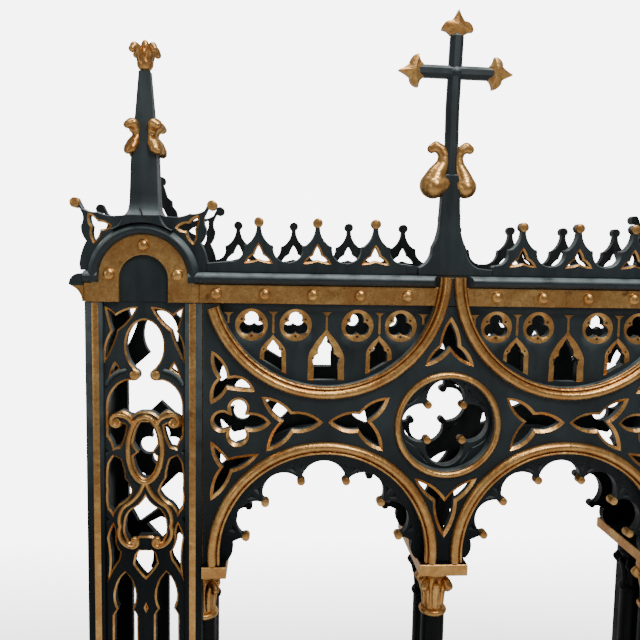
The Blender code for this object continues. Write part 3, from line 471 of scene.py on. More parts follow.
# Repeats: one carved thing copied along a line or round an axis
def repeat_tree():
    tree = bpy.data.node_groups.new("Repeated carving", "GeometryNodeTree")
    for name, kind in (("Carving", "Geometry"), ("Count", "Int"), ("Start", "Vector"), ("Step", "Vector"),
                       ("First turn", "Float"), ("Turn step", "Float"), ("Finish", "Material")):
        tree.interface.new_socket(name, in_out="INPUT", socket_type="NodeSocket" + kind)
    tree.interface.new_socket("Carvings", in_out="OUTPUT", socket_type="NodeSocketGeometry")
    nodes, links = tree.nodes, tree.links
    given = nodes.new("NodeGroupInput")
    result = nodes.new("NodeGroupOutput")
    points = nodes.new("GeometryNodePoints")
    index = nodes.new("GeometryNodeInputIndex")
    shift = nodes.new("ShaderNodeVectorMath")
    shift.operation = "SCALE"
    place = nodes.new("ShaderNodeVectorMath")
    place.operation = "ADD"
    turning = nodes.new("ShaderNodeMath")
    turning.operation = "MULTIPLY_ADD"
    upright = nodes.new("ShaderNodeCombineXYZ")
    instances = nodes.new("GeometryNodeInstanceOnPoints")
    realised = nodes.new("GeometryNodeRealizeInstances")
    finished = nodes.new("GeometryNodeSetMaterial")
    joined = (
        (given.outputs["Count"], points.inputs["Count"]),
        (given.outputs["Step"], shift.inputs[0]),
        (index.outputs[0], shift.inputs["Scale"]),
        (shift.outputs[0], place.inputs[0]),
        (given.outputs["Start"], place.inputs[1]),
        (place.outputs[0], points.inputs["Position"]),
        (index.outputs[0], turning.inputs[0]),
        (given.outputs["Turn step"], turning.inputs[1]),
        (given.outputs["First turn"], turning.inputs[2]),
        (turning.outputs[0], upright.inputs["Z"]),
        (points.outputs[0], instances.inputs["Points"]),
        (given.outputs["Carving"], instances.inputs["Instance"]),
        (upright.outputs[0], instances.inputs["Rotation"]),
        (instances.outputs[0], realised.inputs[0]),
        (realised.outputs[0], finished.inputs[0]),
        (given.outputs["Finish"], finished.inputs["Material"]),
        (finished.outputs[0], result.inputs[0]),
    )
    for source, target in joined:
        links.new(source, target)
    return tree


REPEATED = repeat_tree()


def plain_mesh(item):
    """The evaluated mesh of an object, whose modifiers and the object itself are then dropped."""
    view = bpy.context.evaluated_depsgraph_get()
    mesh = bpy.data.meshes.new_from_object(item.evaluated_get(view))
    item.modifiers.clear()
    source = item.data
    bpy.data.objects.remove(item, do_unlink=True)
    bpy.data.meshes.remove(source)
    return mesh


def absorb_mesh(shape, mesh, finish):
    known = len(shape.faces)
    shape.from_mesh(mesh)
    shape.faces.ensure_lookup_table()
    for face in shape.faces[known:]:
        face.material_index = finish
    bpy.data.meshes.remove(mesh)


def add_repeats(shape, carving, count, start, step=(0, 0, 0), first_turn=0.0, turn_step=0.0, finish=GILT):
    """Copies of a carving (a shape in metres about the origin) along a line or round an upright axis."""
    item = in_scene("carving", as_mesh("carving", carving))
    change = item.modifiers.new("Repeats", "NODES")
    change.node_group = REPEATED
    values = {"Count": count, "Start": Vector(start) * MM, "Step": Vector(step) * MM,
              "First turn": math.radians(first_turn), "Turn step": math.radians(turn_step),
              "Finish": FINISHES[finish]}
    for socket in REPEATED.interface.items_tree:
        if socket.in_out == "INPUT" and socket.name in values:
            change[socket.identifier] = values[socket.name]
    item.update_tag()
    absorb_mesh(shape, plain_mesh(item), finish)


def carved(lumps, voxel, smoothing):
    """Soft carving: lumps (centre, radii, tilt about the depth axis in degrees) run together and smoothed."""
    shape = bmesh.new()
    for centre, radii, tilt in lumps:
        place = Matrix.Translation(Vector(centre) * MM) @ Matrix.Rotation(math.radians(tilt), 4, "Y")
        place = place @ Matrix.Diagonal((radii[0] * MM, radii[1] * MM, radii[2] * MM, 1))
        bmesh.ops.create_icosphere(shape, subdivisions=3, radius=1, matrix=place)
    item = in_scene("carving", as_mesh("carving", shape))
    blend = item.modifiers.new("Run together", "REMESH")
    blend.mode = "VOXEL"
    blend.voxel_size = voxel * MM
    soften = item.modifiers.new("Soften", "SMOOTH")
    soften.factor = 0.5
    soften.iterations = smoothing
    mesh = plain_mesh(item)
    result = bmesh.new()
    result.from_mesh(mesh)
    bpy.data.meshes.remove(mesh)
    return result


def add_carving(shape, lumps, voxel, smoothing, where, finish):
    """One soft carving, set at a place in millimetres."""
    carving = carved(lumps, voxel, smoothing)
    bmesh.ops.translate(carving, vec=Vector(where) * MM, verts=carving.verts)
    absorb(shape, carving, finish)


# Finishes
# Painted shade: paint darkens towards the bottom, between these heights in metres, down to this share of its
# dark colour
SHADE_LEVELS = (0.78, 1.05)
SHADE_SHARE = 0.4


def wood_shader(name, roughness, metallic):
    material = bpy.data.materials.new(name)
    material.use_nodes = True
    nodes, links = material.node_tree.nodes, material.node_tree.links
    shader = nodes["Principled BSDF"]
    shader.inputs["Metallic"].default_value = metallic
    shader.inputs["Roughness"].default_value = roughness
    place = nodes.new("ShaderNodeTexCoord")
    return material, nodes, links, shader, place.outputs["Object"]


def ranged(nodes, links, value, ends=(0, 1), spread=(0, 1)):
    """A value between two ends, carried over to the spread."""
    ramp = nodes.new("ShaderNodeMapRange")
    for name, number in zip(("From Min", "From Max", "To Min", "To Max"), (*ends, *spread)):
        ramp.inputs[name].default_value = number
    links.new(value, ramp.inputs["Value"])
    return ramp.outputs[0]


def along_axis(nodes, links, vector, axis):
    parts = nodes.new("ShaderNodeSeparateXYZ")
    links.new(vector, parts.inputs[0])
    return parts.outputs[axis]


def patches(nodes, links, place, scale, detail, low_end, high_end, stretch=(1, 1, 1)):
    """Cloudy mask between 0 and 1, sharpened between its two ends."""
    mapping = nodes.new("ShaderNodeMapping")
    mapping.inputs["Scale"].default_value = stretch
    noise = nodes.new("ShaderNodeTexNoise")
    noise.inputs["Scale"].default_value = scale
    noise.inputs["Detail"].default_value = detail
    links.new(place, mapping.inputs["Vector"])
    links.new(mapping.outputs[0], noise.inputs["Vector"])
    return ranged(nodes, links, noise.outputs["Fac"], (low_end, high_end))


def mixed(nodes, links, mask, first, second):
    """A colour between two others; either may be a plain colour or another node's output."""
    mix = nodes.new("ShaderNodeMix")
    mix.data_type = "RGBA"
    links.new(mask, mix.inputs["Factor"])
    for name, value in (("A", first), ("B", second)):
        socket = [s for s in mix.inputs if s.name == name and s.type == "RGBA"][0]
        if isinstance(value, tuple):
            socket.default_value = (*value, 1)
        else:
            links.new(value, socket)
    return [s for s in mix.outputs if s.type == "RGBA"][0]


def add_bump(nodes, links, shader, heights):
    """Chained bumps from (mask, strength, depth in millimetres)."""
    previous = None
    for mask, strength, depth in heights:
        bump = nodes.new("ShaderNodeBump")
        bump.inputs["Strength"].default_value = strength
        bump.inputs["Distance"].default_value = depth * MM
        links.new(mask, bump.inputs["Height"])
        if previous is not None:
            links.new(previous, bump.inputs["Normal"])
        previous = bump.outputs["Normal"]
    links.new(previous, shader.inputs["Normal"])


def facing_up(nodes, links):
    """Mask that is 1 where a surface looks up: where dust settles, and where painted light from above falls.
    """
    surface = nodes.new("ShaderNodeNewGeometry")
    return ranged(nodes, links, along_axis(nodes, links, surface.outputs["Normal"], "Z"), (0.02, 0.5))


def multiplied(nodes, links, first, second):
    product = nodes.new("ShaderNodeMath")
    product.operation = "MULTIPLY"
    links.new(first, product.inputs[0])
    links.new(second, product.inputs[1])
    return product.outputs[0]


def old_paint(name, dark, green, dust_and_top_light):
    """Dull paint with settled dust that also paints upward faces lighter, as light from above would, and
    painted shade that makes it darker and duller low down.
    """
    material, nodes, links, shader, place = wood_shader(name, 0.42, 0.0)
    clouds = patches(nodes, links, place, 9, 3, 0.38, 0.66)
    brushed = patches(nodes, links, place, 60, 4, 0.35, 0.7, (1, 1, 0.12))
    grime = patches(nodes, links, place, 24, 4, 0.25, 0.55)
    colour = mixed(nodes, links, clouds, dark, green)
    # Upward faces take the lighter colour: settled dust and painted light from above
    colour = mixed(nodes, links, multiplied(nodes, links, facing_up(nodes, links), grime), colour, dust_and_top_light)
    # Painted shade: the colour darkens towards the bottom and its gloss drops there too
    lit = ranged(nodes, links, along_axis(nodes, links, place, "Z"), SHADE_LEVELS)
    colour = mixed(nodes, links, lit, tuple(SHADE_SHARE * c for c in dark), colour)
    links.new(colour, shader.inputs["Base Color"])
    links.new(ranged(nodes, links, lit, spread=(0.12, 0.42)), shader.inputs["Specular IOR Level"])
    links.new(ranged(nodes, links, brushed, spread=(0.34, 0.58)), shader.inputs["Roughness"])
    add_bump(nodes, links, shader, [(brushed, 0.25, 0.5), (clouds, 0.3, 1.5)])
    return material


def old_gilding(name):
    material, nodes, links, shader, place = wood_shader(name, 0.36, 0.9)
    clouds = patches(nodes, links, place, 16, 4, 0.36, 0.66)
    leaf = patches(nodes, links, place, 75, 5, 0.42, 0.68)
    rubbed = patches(nodes, links, place, 38, 5, 0.64, 0.78)
    fine = patches(nodes, links, place, 190, 3, 0.3, 0.75)
    colour = mixed(nodes, links, clouds, (0.51, 0.242, 0.072), (0.63, 0.338, 0.112))
    colour = mixed(nodes, links, multiplied(nodes, links, leaf, clouds), colour, (0.82, 0.51, 0.175))
    colour = mixed(nodes, links, rubbed, colour, (0.24, 0.100, 0.028))
    links.new(colour, shader.inputs["Base Color"])
    links.new(ranged(nodes, links, fine, spread=(0.22, 0.44)), shader.inputs["Roughness"])
    add_bump(nodes, links, shader, [(fine, 0.2, 0.25), (leaf, 0.35, 0.8), (clouds, 0.35, 1.2)])
    return material


# Near-black: painted shade in drilled holes, and dark joints and cracks
def hole_shade_and_joints(name):
    material, nodes, links, shader, place = wood_shader(name, 0.8, 0.0)
    clouds = patches(nodes, links, place, 80, 2, 0.3, 0.7)
    colour = mixed(nodes, links, clouds, (0.006, 0.005, 0.004), (0.02, 0.014, 0.009))
    links.new(colour, shader.inputs["Base Color"])
    return material


GREEN = old_paint("dark green paint", (0.009, 0.014, 0.016), (0.019, 0.029, 0.032), (0.15, 0.185, 0.185))
# A darkened copy of the green paint: painted shade on the back screen, inner sides and columns
PAINTED_SHADE_GREEN = old_paint("shaded green paint", (0.004, 0.006, 0.006), (0.009, 0.012, 0.013), (0.04, 0.05, 0.05))
GOLD = old_gilding("old gilding")
HOLE_SHADE_AND_JOINTS = hole_shade_and_joints("painted hole shade and dark joints")
FINISHES = [GREEN, GOLD, HOLE_SHADE_AND_JOINTS]


def make_piece(name, shape, nodes, face=FRONT, shade=False):
    """Turns a shape into a piece of the altar that stands for its CAD nodes; back pieces, and any asked for
    with shade, take the darkened green paint as painted shade.
    """
    mesh = as_mesh(name, shape)
    mesh.shade_smooth()
    mesh.set_sharp_from_angle(angle=math.radians(SHARP_EDGE))
    for material in (PAINTED_SHADE_GREEN if shade or face == BACK else GREEN, GOLD, HOLE_SHADE_AND_JOINTS):
        mesh.materials.append(material)
    piece = in_scene(name, mesh)
    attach(piece, "root")
    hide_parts(*nodes)


# Arcade boards
SPANDREL = {
    "upper": [(-228, 420, .12), (-217, 365, .14), (-230, 313, .10), (-197, 343, .03), (-143, 338, .22),
              (-193, 370, .12)],
    "fish": [(-155, 296, .72), (-196, 298, .82), (-198, 257, .72), (-155, 257, .14), (-110, 275, .14)],
    "wing": [(-129, 328, .10), (-93, 277, .10), (-118, 217, .12), (-65, 255, .12), (-5, 276, .12),
             (-68, 298, .12)],
    "lower": [(-230, 238, .10), (-212, 183, .10), (-230, 115, .10), (-187, 173, .10), (-133, 212, .03),
              (-195, 203, .03)],
}
MIDDLE = {
    "above": [(0, 493, .08), (-22, 435, .10), (-50, 392, .10), (0, 423, .10), (50, 392, .10), (22, 435, .08)],
    "below": [(-65, 160, .08), (-25, 110, .08), (0, 33, .08), (25, 110, .08), (65, 160, .10), (0, 118, .10)],
}


def arc_dip(radius):
    """How far below its centre line a hanging arc of this radius meets the top of the board, in degrees."""
    return math.degrees(math.asin((ARC_CENTRE - BOARD_TOP) / radius))


def arcade_board(face, word):
    shape = bmesh.new()
    foot = IMPOST_TOP + GAP
    dip = arc_dip(ARC_INNER)
    bottom, top = [(-BOARD_END, foot)], []
    for centre in (-BAY, BAY):
        bottom += [(centre - ARCH_INNER, foot)] + arc(centre, SPRING, ARCH_INNER, 180, 0, SMOOTH_STEPS)
        bottom += [(centre + ARCH_INNER, foot)]
    for centre in (BAY, -BAY):
        top += arc(centre, ARC_CENTRE, ARC_INNER, -dip, dip - 180, SMOOTH_STEPS)
    outline = bottom + [(BOARD_END, foot), (BOARD_END, BOARD_TOP)] + top + [(-BOARD_END, BOARD_TOP)]
    shapes = [foils(corners) for corners in SPANDREL.values()]
    shapes.append(flipped(foils(SPANDREL["wing"])))
    left = [moved(points, -BAY, SPRING) for points in shapes]
    mouths = left + [flipped(points) for points in left]
    mouths += [moved(foils(corners), 0, SPRING) for corners in MIDDLE.values()]
    edging = (GILT_WIDTH, GILT_SINK, GILT) if face == FRONT else (3.0, 2.5, PAINT)
    openings = [sunk(mouth, *edging) for mouth in mouths]
    rose = arc(0, ROSE_CENTRE, ROSE_INNER, 0, 360, SMOOTH_STEPS)[:-1]
    openings.append(sunk(rose, 1.0, 1.0, PAINT))
    rim = (1.6, 2.0, gilt_in_front(face))
    add_panel(shape, outline, openings, BOARD_BACK, BOARD_FRONT, on_face(RIGHT, face), rim)
    make_piece(f"{word}_arcade_tracery", shape, [f"{word}_arcade_board"], face)


# Tympana under the cornice
TREFOIL_LEVEL = ARC_CENTRE - 101
TREFOIL_PLACES = (-151, -62.5, 62.5, 151)
TREFOIL_RING, TREFOIL_CUSP = 32.5, 14.3
CUSPS_OF_THREE = (30, 150, 270)
LANCET_SILL = 215
LANCETS = ((-107.5, 18, -132, -164), (0, 25, -122, -182), (107.5, 18, -132, -164))


def spots(radius, angles):
    """Points at these angles, in degrees, round the origin."""
    turns = [math.radians(angle) for angle in angles]
    return [(radius * math.cos(t), radius * math.sin(t)) for t in turns]


def trefoil_pair(centre_x):
    """Trefoil opening and the round mouth of its gilt ring, point for point."""
    edge = counterclockwise(foils([(x, z, 0.76) for x, z in spots(TREFOIL_CUSP, CUSPS_OF_THREE)]))
    mouth = []
    for x, z in edge:
        far = math.hypot(x, z)
        mouth.append((x * TREFOIL_RING / far, z * TREFOIL_RING / far))
    return moved(edge, centre_x, TREFOIL_LEVEL), moved(mouth, centre_x, TREFOIL_LEVEL)


def lancet_outline(centre, half, apex, shoulder, sill, shares, rises):
    """A pointed outline that stands on the hanging arc; its head bends at two shares of its size."""
    head = apex - shoulder
    cusp = (half * shares[0], shoulder + shares[1] * head)
    neck = (half * shares[2], shoulder + shares[3] * head)
    flank = [(half * 0.97, shoulder)] + bow((half * 0.97, shoulder), cusp, rises[0], 6)[1:]
    flank += bow(cusp, neck, rises[1], 5) + bow(neck, (0.01, apex), rises[2], 4)
    low_right, low_left = (-math.sqrt(sill ** 2 - (centre + way * half) ** 2) for way in (1, -1))
    points = [(half, low_right)] + flank + [(0, apex)] + flipped(flank) + [(-half, low_left)]
    return moved(points, BAY + centre, ARC_CENTRE)


def lancet(centre, half, apex, shoulder):
    """Cusped opening and the smooth pointed outline of its gilt frame, point for point."""
    frame_width = half / 2
    edge = lancet_outline(centre, half, apex, shoulder, LANCET_SILL,
                          (0.62, 0.38, 0.36, 0.72), (0.24, 0.14, 0.03))
    wide, peak = half + frame_width, apex + 1.35 * frame_width
    mouth = lancet_outline(centre, wide, peak, shoulder, LANCET_SILL + 0.8,
                           (0.76, 0.46, 0.34, 0.76), (0.10, 0.03, -0.06))
    return edge, mouth


def flare(x, z, stem):
    """Stem with a small fork on top, as a thin gilt inlay."""
    right = [(2.6, 0), (2, stem - 8), (6, stem - 3), (11, stem)]
    return moved(flipped(right)[-1:] + right + flipped(right)[:-1], x, z)


def drill(shape, spot, rings, place):
    """A small dark dot that stands for a drilled hole as painted shade; its rings are (radius, depth under
    the layer's face).
    """
    profile = [(radius, LAYER_FRONT - under) for radius, under in rings]
    add_knob(shape, spot, profile, place, SHADE_AND_JOINT_DARK, 12)


def tympanum(side, face, word):
    shape = bmesh.new()
    radius = ARC_INNER + 10
    dip = arc_dip(radius)
    outline = arc(BAY, ARC_CENTRE, radius, dip - 180, -dip, SMOOTH_STEPS)
    gilt = gilt_in_front(face)
    place = on_face(side, face)
    pairs = [lancet(*sizes) for sizes in LANCETS] + [trefoil_pair(BAY + x) for x in TREFOIL_PLACES]
    openings = [(edge, mouth, 3.6, gilt) for edge, mouth in pairs]
    add_panel(shape, outline, openings, LAYER_BACK, LAYER_FRONT, place)
    if face == FRONT:
        inlays = [(centre, apex + 14, -88 - apex) for centre, _, apex, _ in LANCETS]
        for x, start, stem in inlays + [(-197, -98, 22), (197, -98, 22)]:
            outline = flare(BAY + x, ARC_CENTRE + start, stem)
            add_plate(shape, outline, LAYER_FRONT - 1, LAYER_FRONT + 0.7, place, GILT, 0.4)
        for x in TREFOIL_PLACES:
            for spot in moved(spots(22.5, CUSPS_OF_THREE), BAY + x, TREFOIL_LEVEL):
                drill(shape, spot, [(2.4, 6), (2.4, 1.6), (1.6, 1.2)], place)
        for centre, half, _, shoulder in LANCETS:
            for way in (-1, 1):
                spot = (BAY + centre + way * (half + 0.5), ARC_CENTRE + shoulder + 14)
                drill(shape, spot, [(2, 6), (2, 1), (1.3, 0.7)], place)
    node = f"{word}_{side_name(side)}_tympanum"
    make_piece(f"{node}_tracery", shape, [node], face)


# Arch cusping and quatrefoil
CUSP_ANGLES = (-76, -47, -16.5, 16.5, 47, 76)
CUSP_DROP = 10
DIAGONALS = (45, 135, 225, 315)


def cusp_tip(angle, ball_at, neck_at, neck, ball, steps):
    turn = math.radians(angle)
    out = (math.sin(turn), math.cos(turn))
    over = (math.cos(turn), -math.sin(turn))

    def at(radial, sideways):
        return (out[0] * radial + over[0] * sideways, out[1] * radial + over[1] * sideways)
    points = [at(neck_at, -neck)]
    for i in range(steps + 1):
        swing = math.radians(-140 + 280 * i / steps)
        points.append(at(ball_at - ball * math.cos(swing), ball * math.sin(swing)))
    return points + [at(neck_at, neck)], at(ball_at, 0)


def cusping(side, face, word):
    shape = bmesh.new()
    place = on_face(side, face)
    radius = ARCH_INNER + 10
    foot = IMPOST_TOP + GAP - SPRING
    outer = [(radius, foot)] + arc(0, 0, radius, 0, 180, SMOOTH_STEPS) + [(-radius, foot)]
    tips = [cusp_tip(angle, 164, 174, 4.5, 7.5, 12) for angle in CUSP_ANGLES]
    inner = []
    for (tip, _), (following, _) in zip(tips, tips[1:]):
        inner += tip + bow(tip[-1], following[0], -0.37, 16)[1:]
    inner = moved(inner + tips[-1][0], 0, -CUSP_DROP)
    toe = [(-197, foot)] + bow((-197, foot), (-188, 20), 0.16, 6)[1:] + [(-188, 20)]
    outline = outer + toe + inner + flipped(toe)
    sinkings = []
    for low_angle, high_angle in zip(CUSP_ANGLES, CUSP_ANGLES[1:]):
        for angle, lean in ((low_angle, 5.5), (high_angle, -5.5)):
            points = []
            for swing, far in ((0, 184), (lean * 0.9, 199), (0, 202)):
                turn = math.radians(angle + swing + lean * 0.25)
                points.append((far * math.sin(turn), far * math.cos(turn)))
            sinkings.append(moved(points, BAY, SPRING - CUSP_DROP))
    add_panel(shape, moved(outline, BAY, SPRING), [], LAYER_BACK, LAYER_FRONT, place, BOARD_RIM, sinkings)
    gilt = gilt_in_front(face)
    for _, (x, z) in tips:
        profile = disc_profile(8.5, LAYER_BACK + 2, LAYER_FRONT + 1)
        add_knob(shape, (BAY + x, SPRING + z - CUSP_DROP), profile, place, gilt)
    node = f"{word}_{side_name(side)}_arch_cusping"
    make_piece(f"{word}_{side_name(side)}_arch_foils", shape, [node], face)


def quatrefoil(face, word):
    shape = bmesh.new()
    place = on_face(RIGHT, face)
    outline = arc(0, ROSE_CENTRE, ROSE_INNER + 9.7, 0, 360, SMOOTH_STEPS)[:-1]
    tips = [cusp_tip(angle, 52, 61, 4, 7, 12) for angle in DIAGONALS]
    inside = []
    for i, (tip, _) in enumerate(tips):
        inside += tip + bow(tip[-1], tips[(i + 1) % 4][0][0], -0.56, 20)[1:]
    openings = [sunk(moved(inside, 0, ROSE_CENTRE), 0.9, 1.0, PAINT)]
    for angle in DIAGONALS:
        corner = []
        for far, swing, rise in ((76, 0, .10), (93, -24, .06), (93, 24, .10)):
            turn = math.radians(angle + swing)
            corner.append((far * math.cos(turn), far * math.sin(turn), rise))
        openings.append(sunk(moved(foils(corner[::-1]), 0, ROSE_CENTRE), 1.2, 1.4, PAINT))
    add_panel(shape, outline, openings, LAYER_BACK, LAYER_FRONT, place)
    gilt = gilt_in_front(face)
    for _, (x, z) in tips:
        profile = disc_profile(8, LAYER_BACK + 2, LAYER_FRONT + 1)
        add_knob(shape, (x, ROSE_CENTRE + z), profile, place, gilt)
    make_piece(f"{word}_rose_quatrefoil", shape, [f"{word}_quatrefoil"], face)


def arch_moulding(side, face, word):
    shape = bmesh.new()
    base = BOARD_FRONT + GAP
    drop = math.degrees(math.asin((SPRING - IMPOST_TOP - GAP) / ARCH_OUTER))
    section = roll_section(ARCH_INNER, ARCH_OUTER, base, base + ROLL_RISE)
    gilt = gilt_in_front(face)
    add_roll(shape, (BAY, SPRING), section, -drop, 180 + drop, on_face(side, face), gilt, 80)
    node = f"{word}_{side_name(side)}_arch_moulding"
    make_piece(f"{word}_{side_name(side)}_arch_roll", shape, [node], face)


def hanging_arcs(face, word):
    shape = bmesh.new()
    base = BOARD_FRONT + GAP
    section = roll_section(ARC_INNER, ARC_OUTER, base, base + ROLL_RISE)
    lift = math.degrees(math.asin((ARC_CENTRE - CORNICE_BOTTOM + 6) / ARC_INNER))
    gilt = gilt_in_front(face)
    place = on_face(RIGHT, face)
    add_roll(shape, (-BAY, ARC_CENTRE), section, lift - 180, 0, place, gilt, 80)
    add_roll(shape, (BAY, ARC_CENTRE), section, -180, -lift, place, gilt, 80)
    web = [(-14, CORNICE_BOTTOM), (14, CORNICE_BOTTOM), (14, ARC_CENTRE - 1), (-14, ARC_CENTRE - 1)]
    add_plate(shape, web, base, base + 2, place, PAINT)
    make_piece(f"{word}_hanging_rolls", shape, [f"{word}_hanging_arcs"], face)


def rosette_ring(face, word):
    shape = bmesh.new()
    base = BOARD_FRONT + GAP
    section = roll_section(ROSE_INNER, ROSE_OUTER, base, base + 0.7 * ROLL_RISE, 1.0, 0)
    gilt = gilt_in_front(face)
    add_roll(shape, (0, ROSE_CENTRE), section, 0, 360, on_face(RIGHT, face), gilt, 72)
    make_piece(f"{word}_rose_roll", shape, [f"{word}_rosette_ring"], face)


# Cornice
def stud():
    shape = bmesh.new()
    profile = stud_profile(STUD_RADIUS, 0, STUD_RISE)
    add_knob(shape, (0, 0), profile, on_face(RIGHT, FRONT), GILT, 20)
    return shape


def cornice_roll(root, bottom):
    """Section (depth, up) of the cornice's half-round roll, from its root in the board."""
    half = ROLL_HEIGHT / 2
    nose = arc(BOARD_FRONT + ROLL_PROUD - half, bottom + half, half - 0.4, -90, 90, 14)
    return [(root, bottom + 0.4)] + nose + [(root, bottom + ROLL_HEIGHT - 0.4)]


def cornice(face, word):
    shape = bmesh.new()
    reach = high(f"{word}_cornice", 0)
    band = BOARD_FRONT + BAND_PROUD
    roll_low = CORNICE_TOP - ROLL_HEIGHT
    place = along_front(face)
    face_depth = BOARD_FRONT - 0.4
    core = [(BEAM_BACK, CORNICE_BOTTOM), (face_depth, CORNICE_BOTTOM), (face_depth, CORNICE_TOP),
            (BEAM_BACK, CORNICE_TOP)]
    add_sweep(shape, [[place(a, b, x) for a, b in core] for x in (-reach, reach)], PAINT)
    root = BOARD_FRONT - 2
    roll = cornice_roll(root, roll_low)
    stop = []
    for z in (CORNICE_BOTTOM, roll_low - 0.6, roll_low):
        stop.append(BAY + 0.6 - math.sqrt(ARC_INNER ** 2 - (ARC_CENTRE - z) ** 2))
    for side in (LEFT, RIGHT):
        end_face = [(stop[0], CORNICE_BOTTOM), (reach, CORNICE_BOTTOM), (reach, roll_low - 0.6),
                    (stop[1], roll_low - 0.6)]
        add_plate(shape, end_face, BOARD_FRONT - 3, band, on_face(side, face), gilt_in_front(face), 1)
        rings = [[place(a, b, side * (stop[2] + MITRE * (a - root))) for a, b in roll]]
        rings.append([place(a, b, side * reach) for a, b in roll])
        add_sweep(shape, rings, PAINT)
    if face == FRONT:
        middle = CORNICE_BOTTOM + BAND_HEIGHT / 2
        for side in (LEFT, RIGHT):
            add_repeats(shape, stud(), 5, (side * 91, -band, middle), (side * 94.8, 0, 0))
    make_piece(f"{word}_cornice_moulding", shape, [f"{word}_cornice"], face)


# Cresting
def crest_unit(centre, left_half, right_half, height):
    """One point of the cresting, met from its right valley to its left one."""
    ball_z = height - BALL

    def flank(half):
        foot = bow((half, 22), (29, 51), -0.24, 9)
        shoulder = bow((29, 51), (24, 55), 0.30, 3)
        neck = bow((24, 55), (4.2, ball_z - BALL), -0.12, 8)
        return foot + shoulder + neck + [(4.2, ball_z - BALL + 1)]
    right = flank(right_half)
    left = flipped(flank(left_half))
    ball = arc(0, ball_z, BALL, -60, 240, 16)
    return moved(right + ball + left, centre, CREST_BOTTOM)


def crest_opening(centre):
    corners = [(-28, 20, .05), (0, 25, .05), (28, 20, .10), (11, 39, .06), (0, 60, .06), (-11, 39, .10)]
    return moved(foils(corners), centre, CREST_BOTTOM - 1)


def ball_disc(radius, back, front):
    shape = bmesh.new()
    add_knob(shape, (0, 0), disc_profile(radius, back, front), on_face(RIGHT, FRONT), GILT, 24)
    return shape


def cresting(piece, nodes, centres, start, end, pitch, face, side):
    shape = bmesh.new()
    place = on_face(side, face)
    outline = [(start, CREST_BOTTOM), (end, CREST_BOTTOM), (end, CREST_BOTTOM + 18)]
    for centre in sorted(centres, reverse=True):
        left_half = min(pitch / 2, centre - start - 1)
        right_half = min(pitch / 2, end - centre - 1)
        outline += crest_unit(centre, left_half, right_half, CREST_HEIGHT)
    outline += [(start, CREST_BOTTOM + 18)]
    edging = (3.6, 3.0, GILT) if face == FRONT else (1.5, 1.5, PAINT)
    openings = [sunk(crest_opening(centre), *edging) for centre in centres]
    add_panel(shape, outline, openings, CREST_BACK, CREST_FRONT, place, (1.3, 1.5, PAINT))
    if face == FRONT and side == LEFT:
        for inset, proud, surface in ((0, 0.2, SHADE_AND_JOINT_DARK), (1.2, 0.9, PAINT)):
            x0, x1 = start + 0.5 + inset, 95 - inset
            z0, z1 = CREST_BOTTOM + 3 + inset, CREST_BOTTOM + 19 - inset
            patch = [(x0, z0), (x1, z0), (x1, z1), (x0, z1)]
            add_plate(shape, patch, CREST_FRONT - 1, CREST_FRONT + proud, place, surface, 0.15)
    if face == FRONT:
        first = (side * centres[0], -CREST_FRONT, CREST_BOTTOM + CREST_HEIGHT - BALL)
        add_repeats(shape, ball_disc(BALL, -4, 1.2), len(centres), first, (side * pitch, 0, 0))
    make_piece(piece, shape, nodes, face)


# Tower panels
def from_middle(points):
    return moved(points, TOWER_CENTRE, 0)


def head_openings():
    head = foils([(-77, 1270, .02), (-66, 1222, .10), (-78, 1158, .04), (-50, 1222, .07), (-12, 1270, .08),
                  (-56, 1256, .08)])
    return [head, flipped(head)]


def lancet_pair(foot):
    half = foils([(26, foot, .001), (26, 636, .04), (18, 650, .10), (20, 700, .08), (0, 731, .08),
                  (-20, 700, .10), (-18, 650, .04), (-26, 636, .001), (-26, foot, .001)])
    return [moved(half, x, 0) for x in (-41.5, 41.5)]


def front_openings():
    sliver = foils([(-58, 1162, .05), (-71, 1130, .05), (-48, 1146, .05)])
    right = arc(0, 1192, 40, 90, -52, 20, 55) + arc(21, 1134, 8, 95, 270, 10)
    right += arc(25, 1070, 51, 78, 0, 10, 58) + bow((76, 1010), (64, 981), 0.08, 5)
    right += bow((64, 981), (49, 985), .06, 3) + bow((49, 985), (34, 1034), -0.06, 6)
    right += [(34, 1034), (46, 1041)] + arc(59, 1040, 10, 200, 410, 14)
    right += bow((46, 1059), (27, 1044), 0.12, 6) + bow((27, 1044), (8, 1057), 0.10, 6) + [(8, 1057)]
    loop = from_right_half(right)
    ring = arc(0, 985, 28, 110, 172, 12, 61) + [(-18, 978)] + arc(0, 981, 28, 190, 350, 24, 61)
    ring += [(18, 978)] + arc(0, 985, 28, 8, 70, 12, 61)
    beside = foils([(64, 973, .05), (75, 955, .03), (77, 900, .03), (75, 860, .05), (64, 842, -.06),
                    (50, 868, -.08), (24, 897, .10), (38, 925, .06), (47, 965, .05)][::-1])
    lyre_right = bow((0, 893), (30, 862), .10, 5) + bow((30, 862), (44, 830), -.10, 5)
    lyre_right += bow((44, 830), (38, 795), -.10, 5) + arc(30, 795, 8, 0, -150, 8) + [(12, 800)]
    lyre = from_right_half(lyre_right)
    corner = foils([(64, 834, -.05), (58, 800, -.08), (48, 771, .10), (52, 752, -.04), (77, 706, .03),
                    (77, 800, .05)][::-1])
    valley = [(14, 776), (-14, 776), (-22, 766)] + bow((-26, 746), (0, 712), .04, 4)
    valley += bow((0, 712), (26, 746), .04, 4) + [(26, 746), (22, 766)]
    diamond = [(0, 664), (-5, 652), (0, 641), (5, 652)]
    shapes = head_openings() + [sliver, flipped(sliver), beside, flipped(beside), corner, flipped(corner)]
    return shapes + [loop, ring, lyre, valley, diamond]


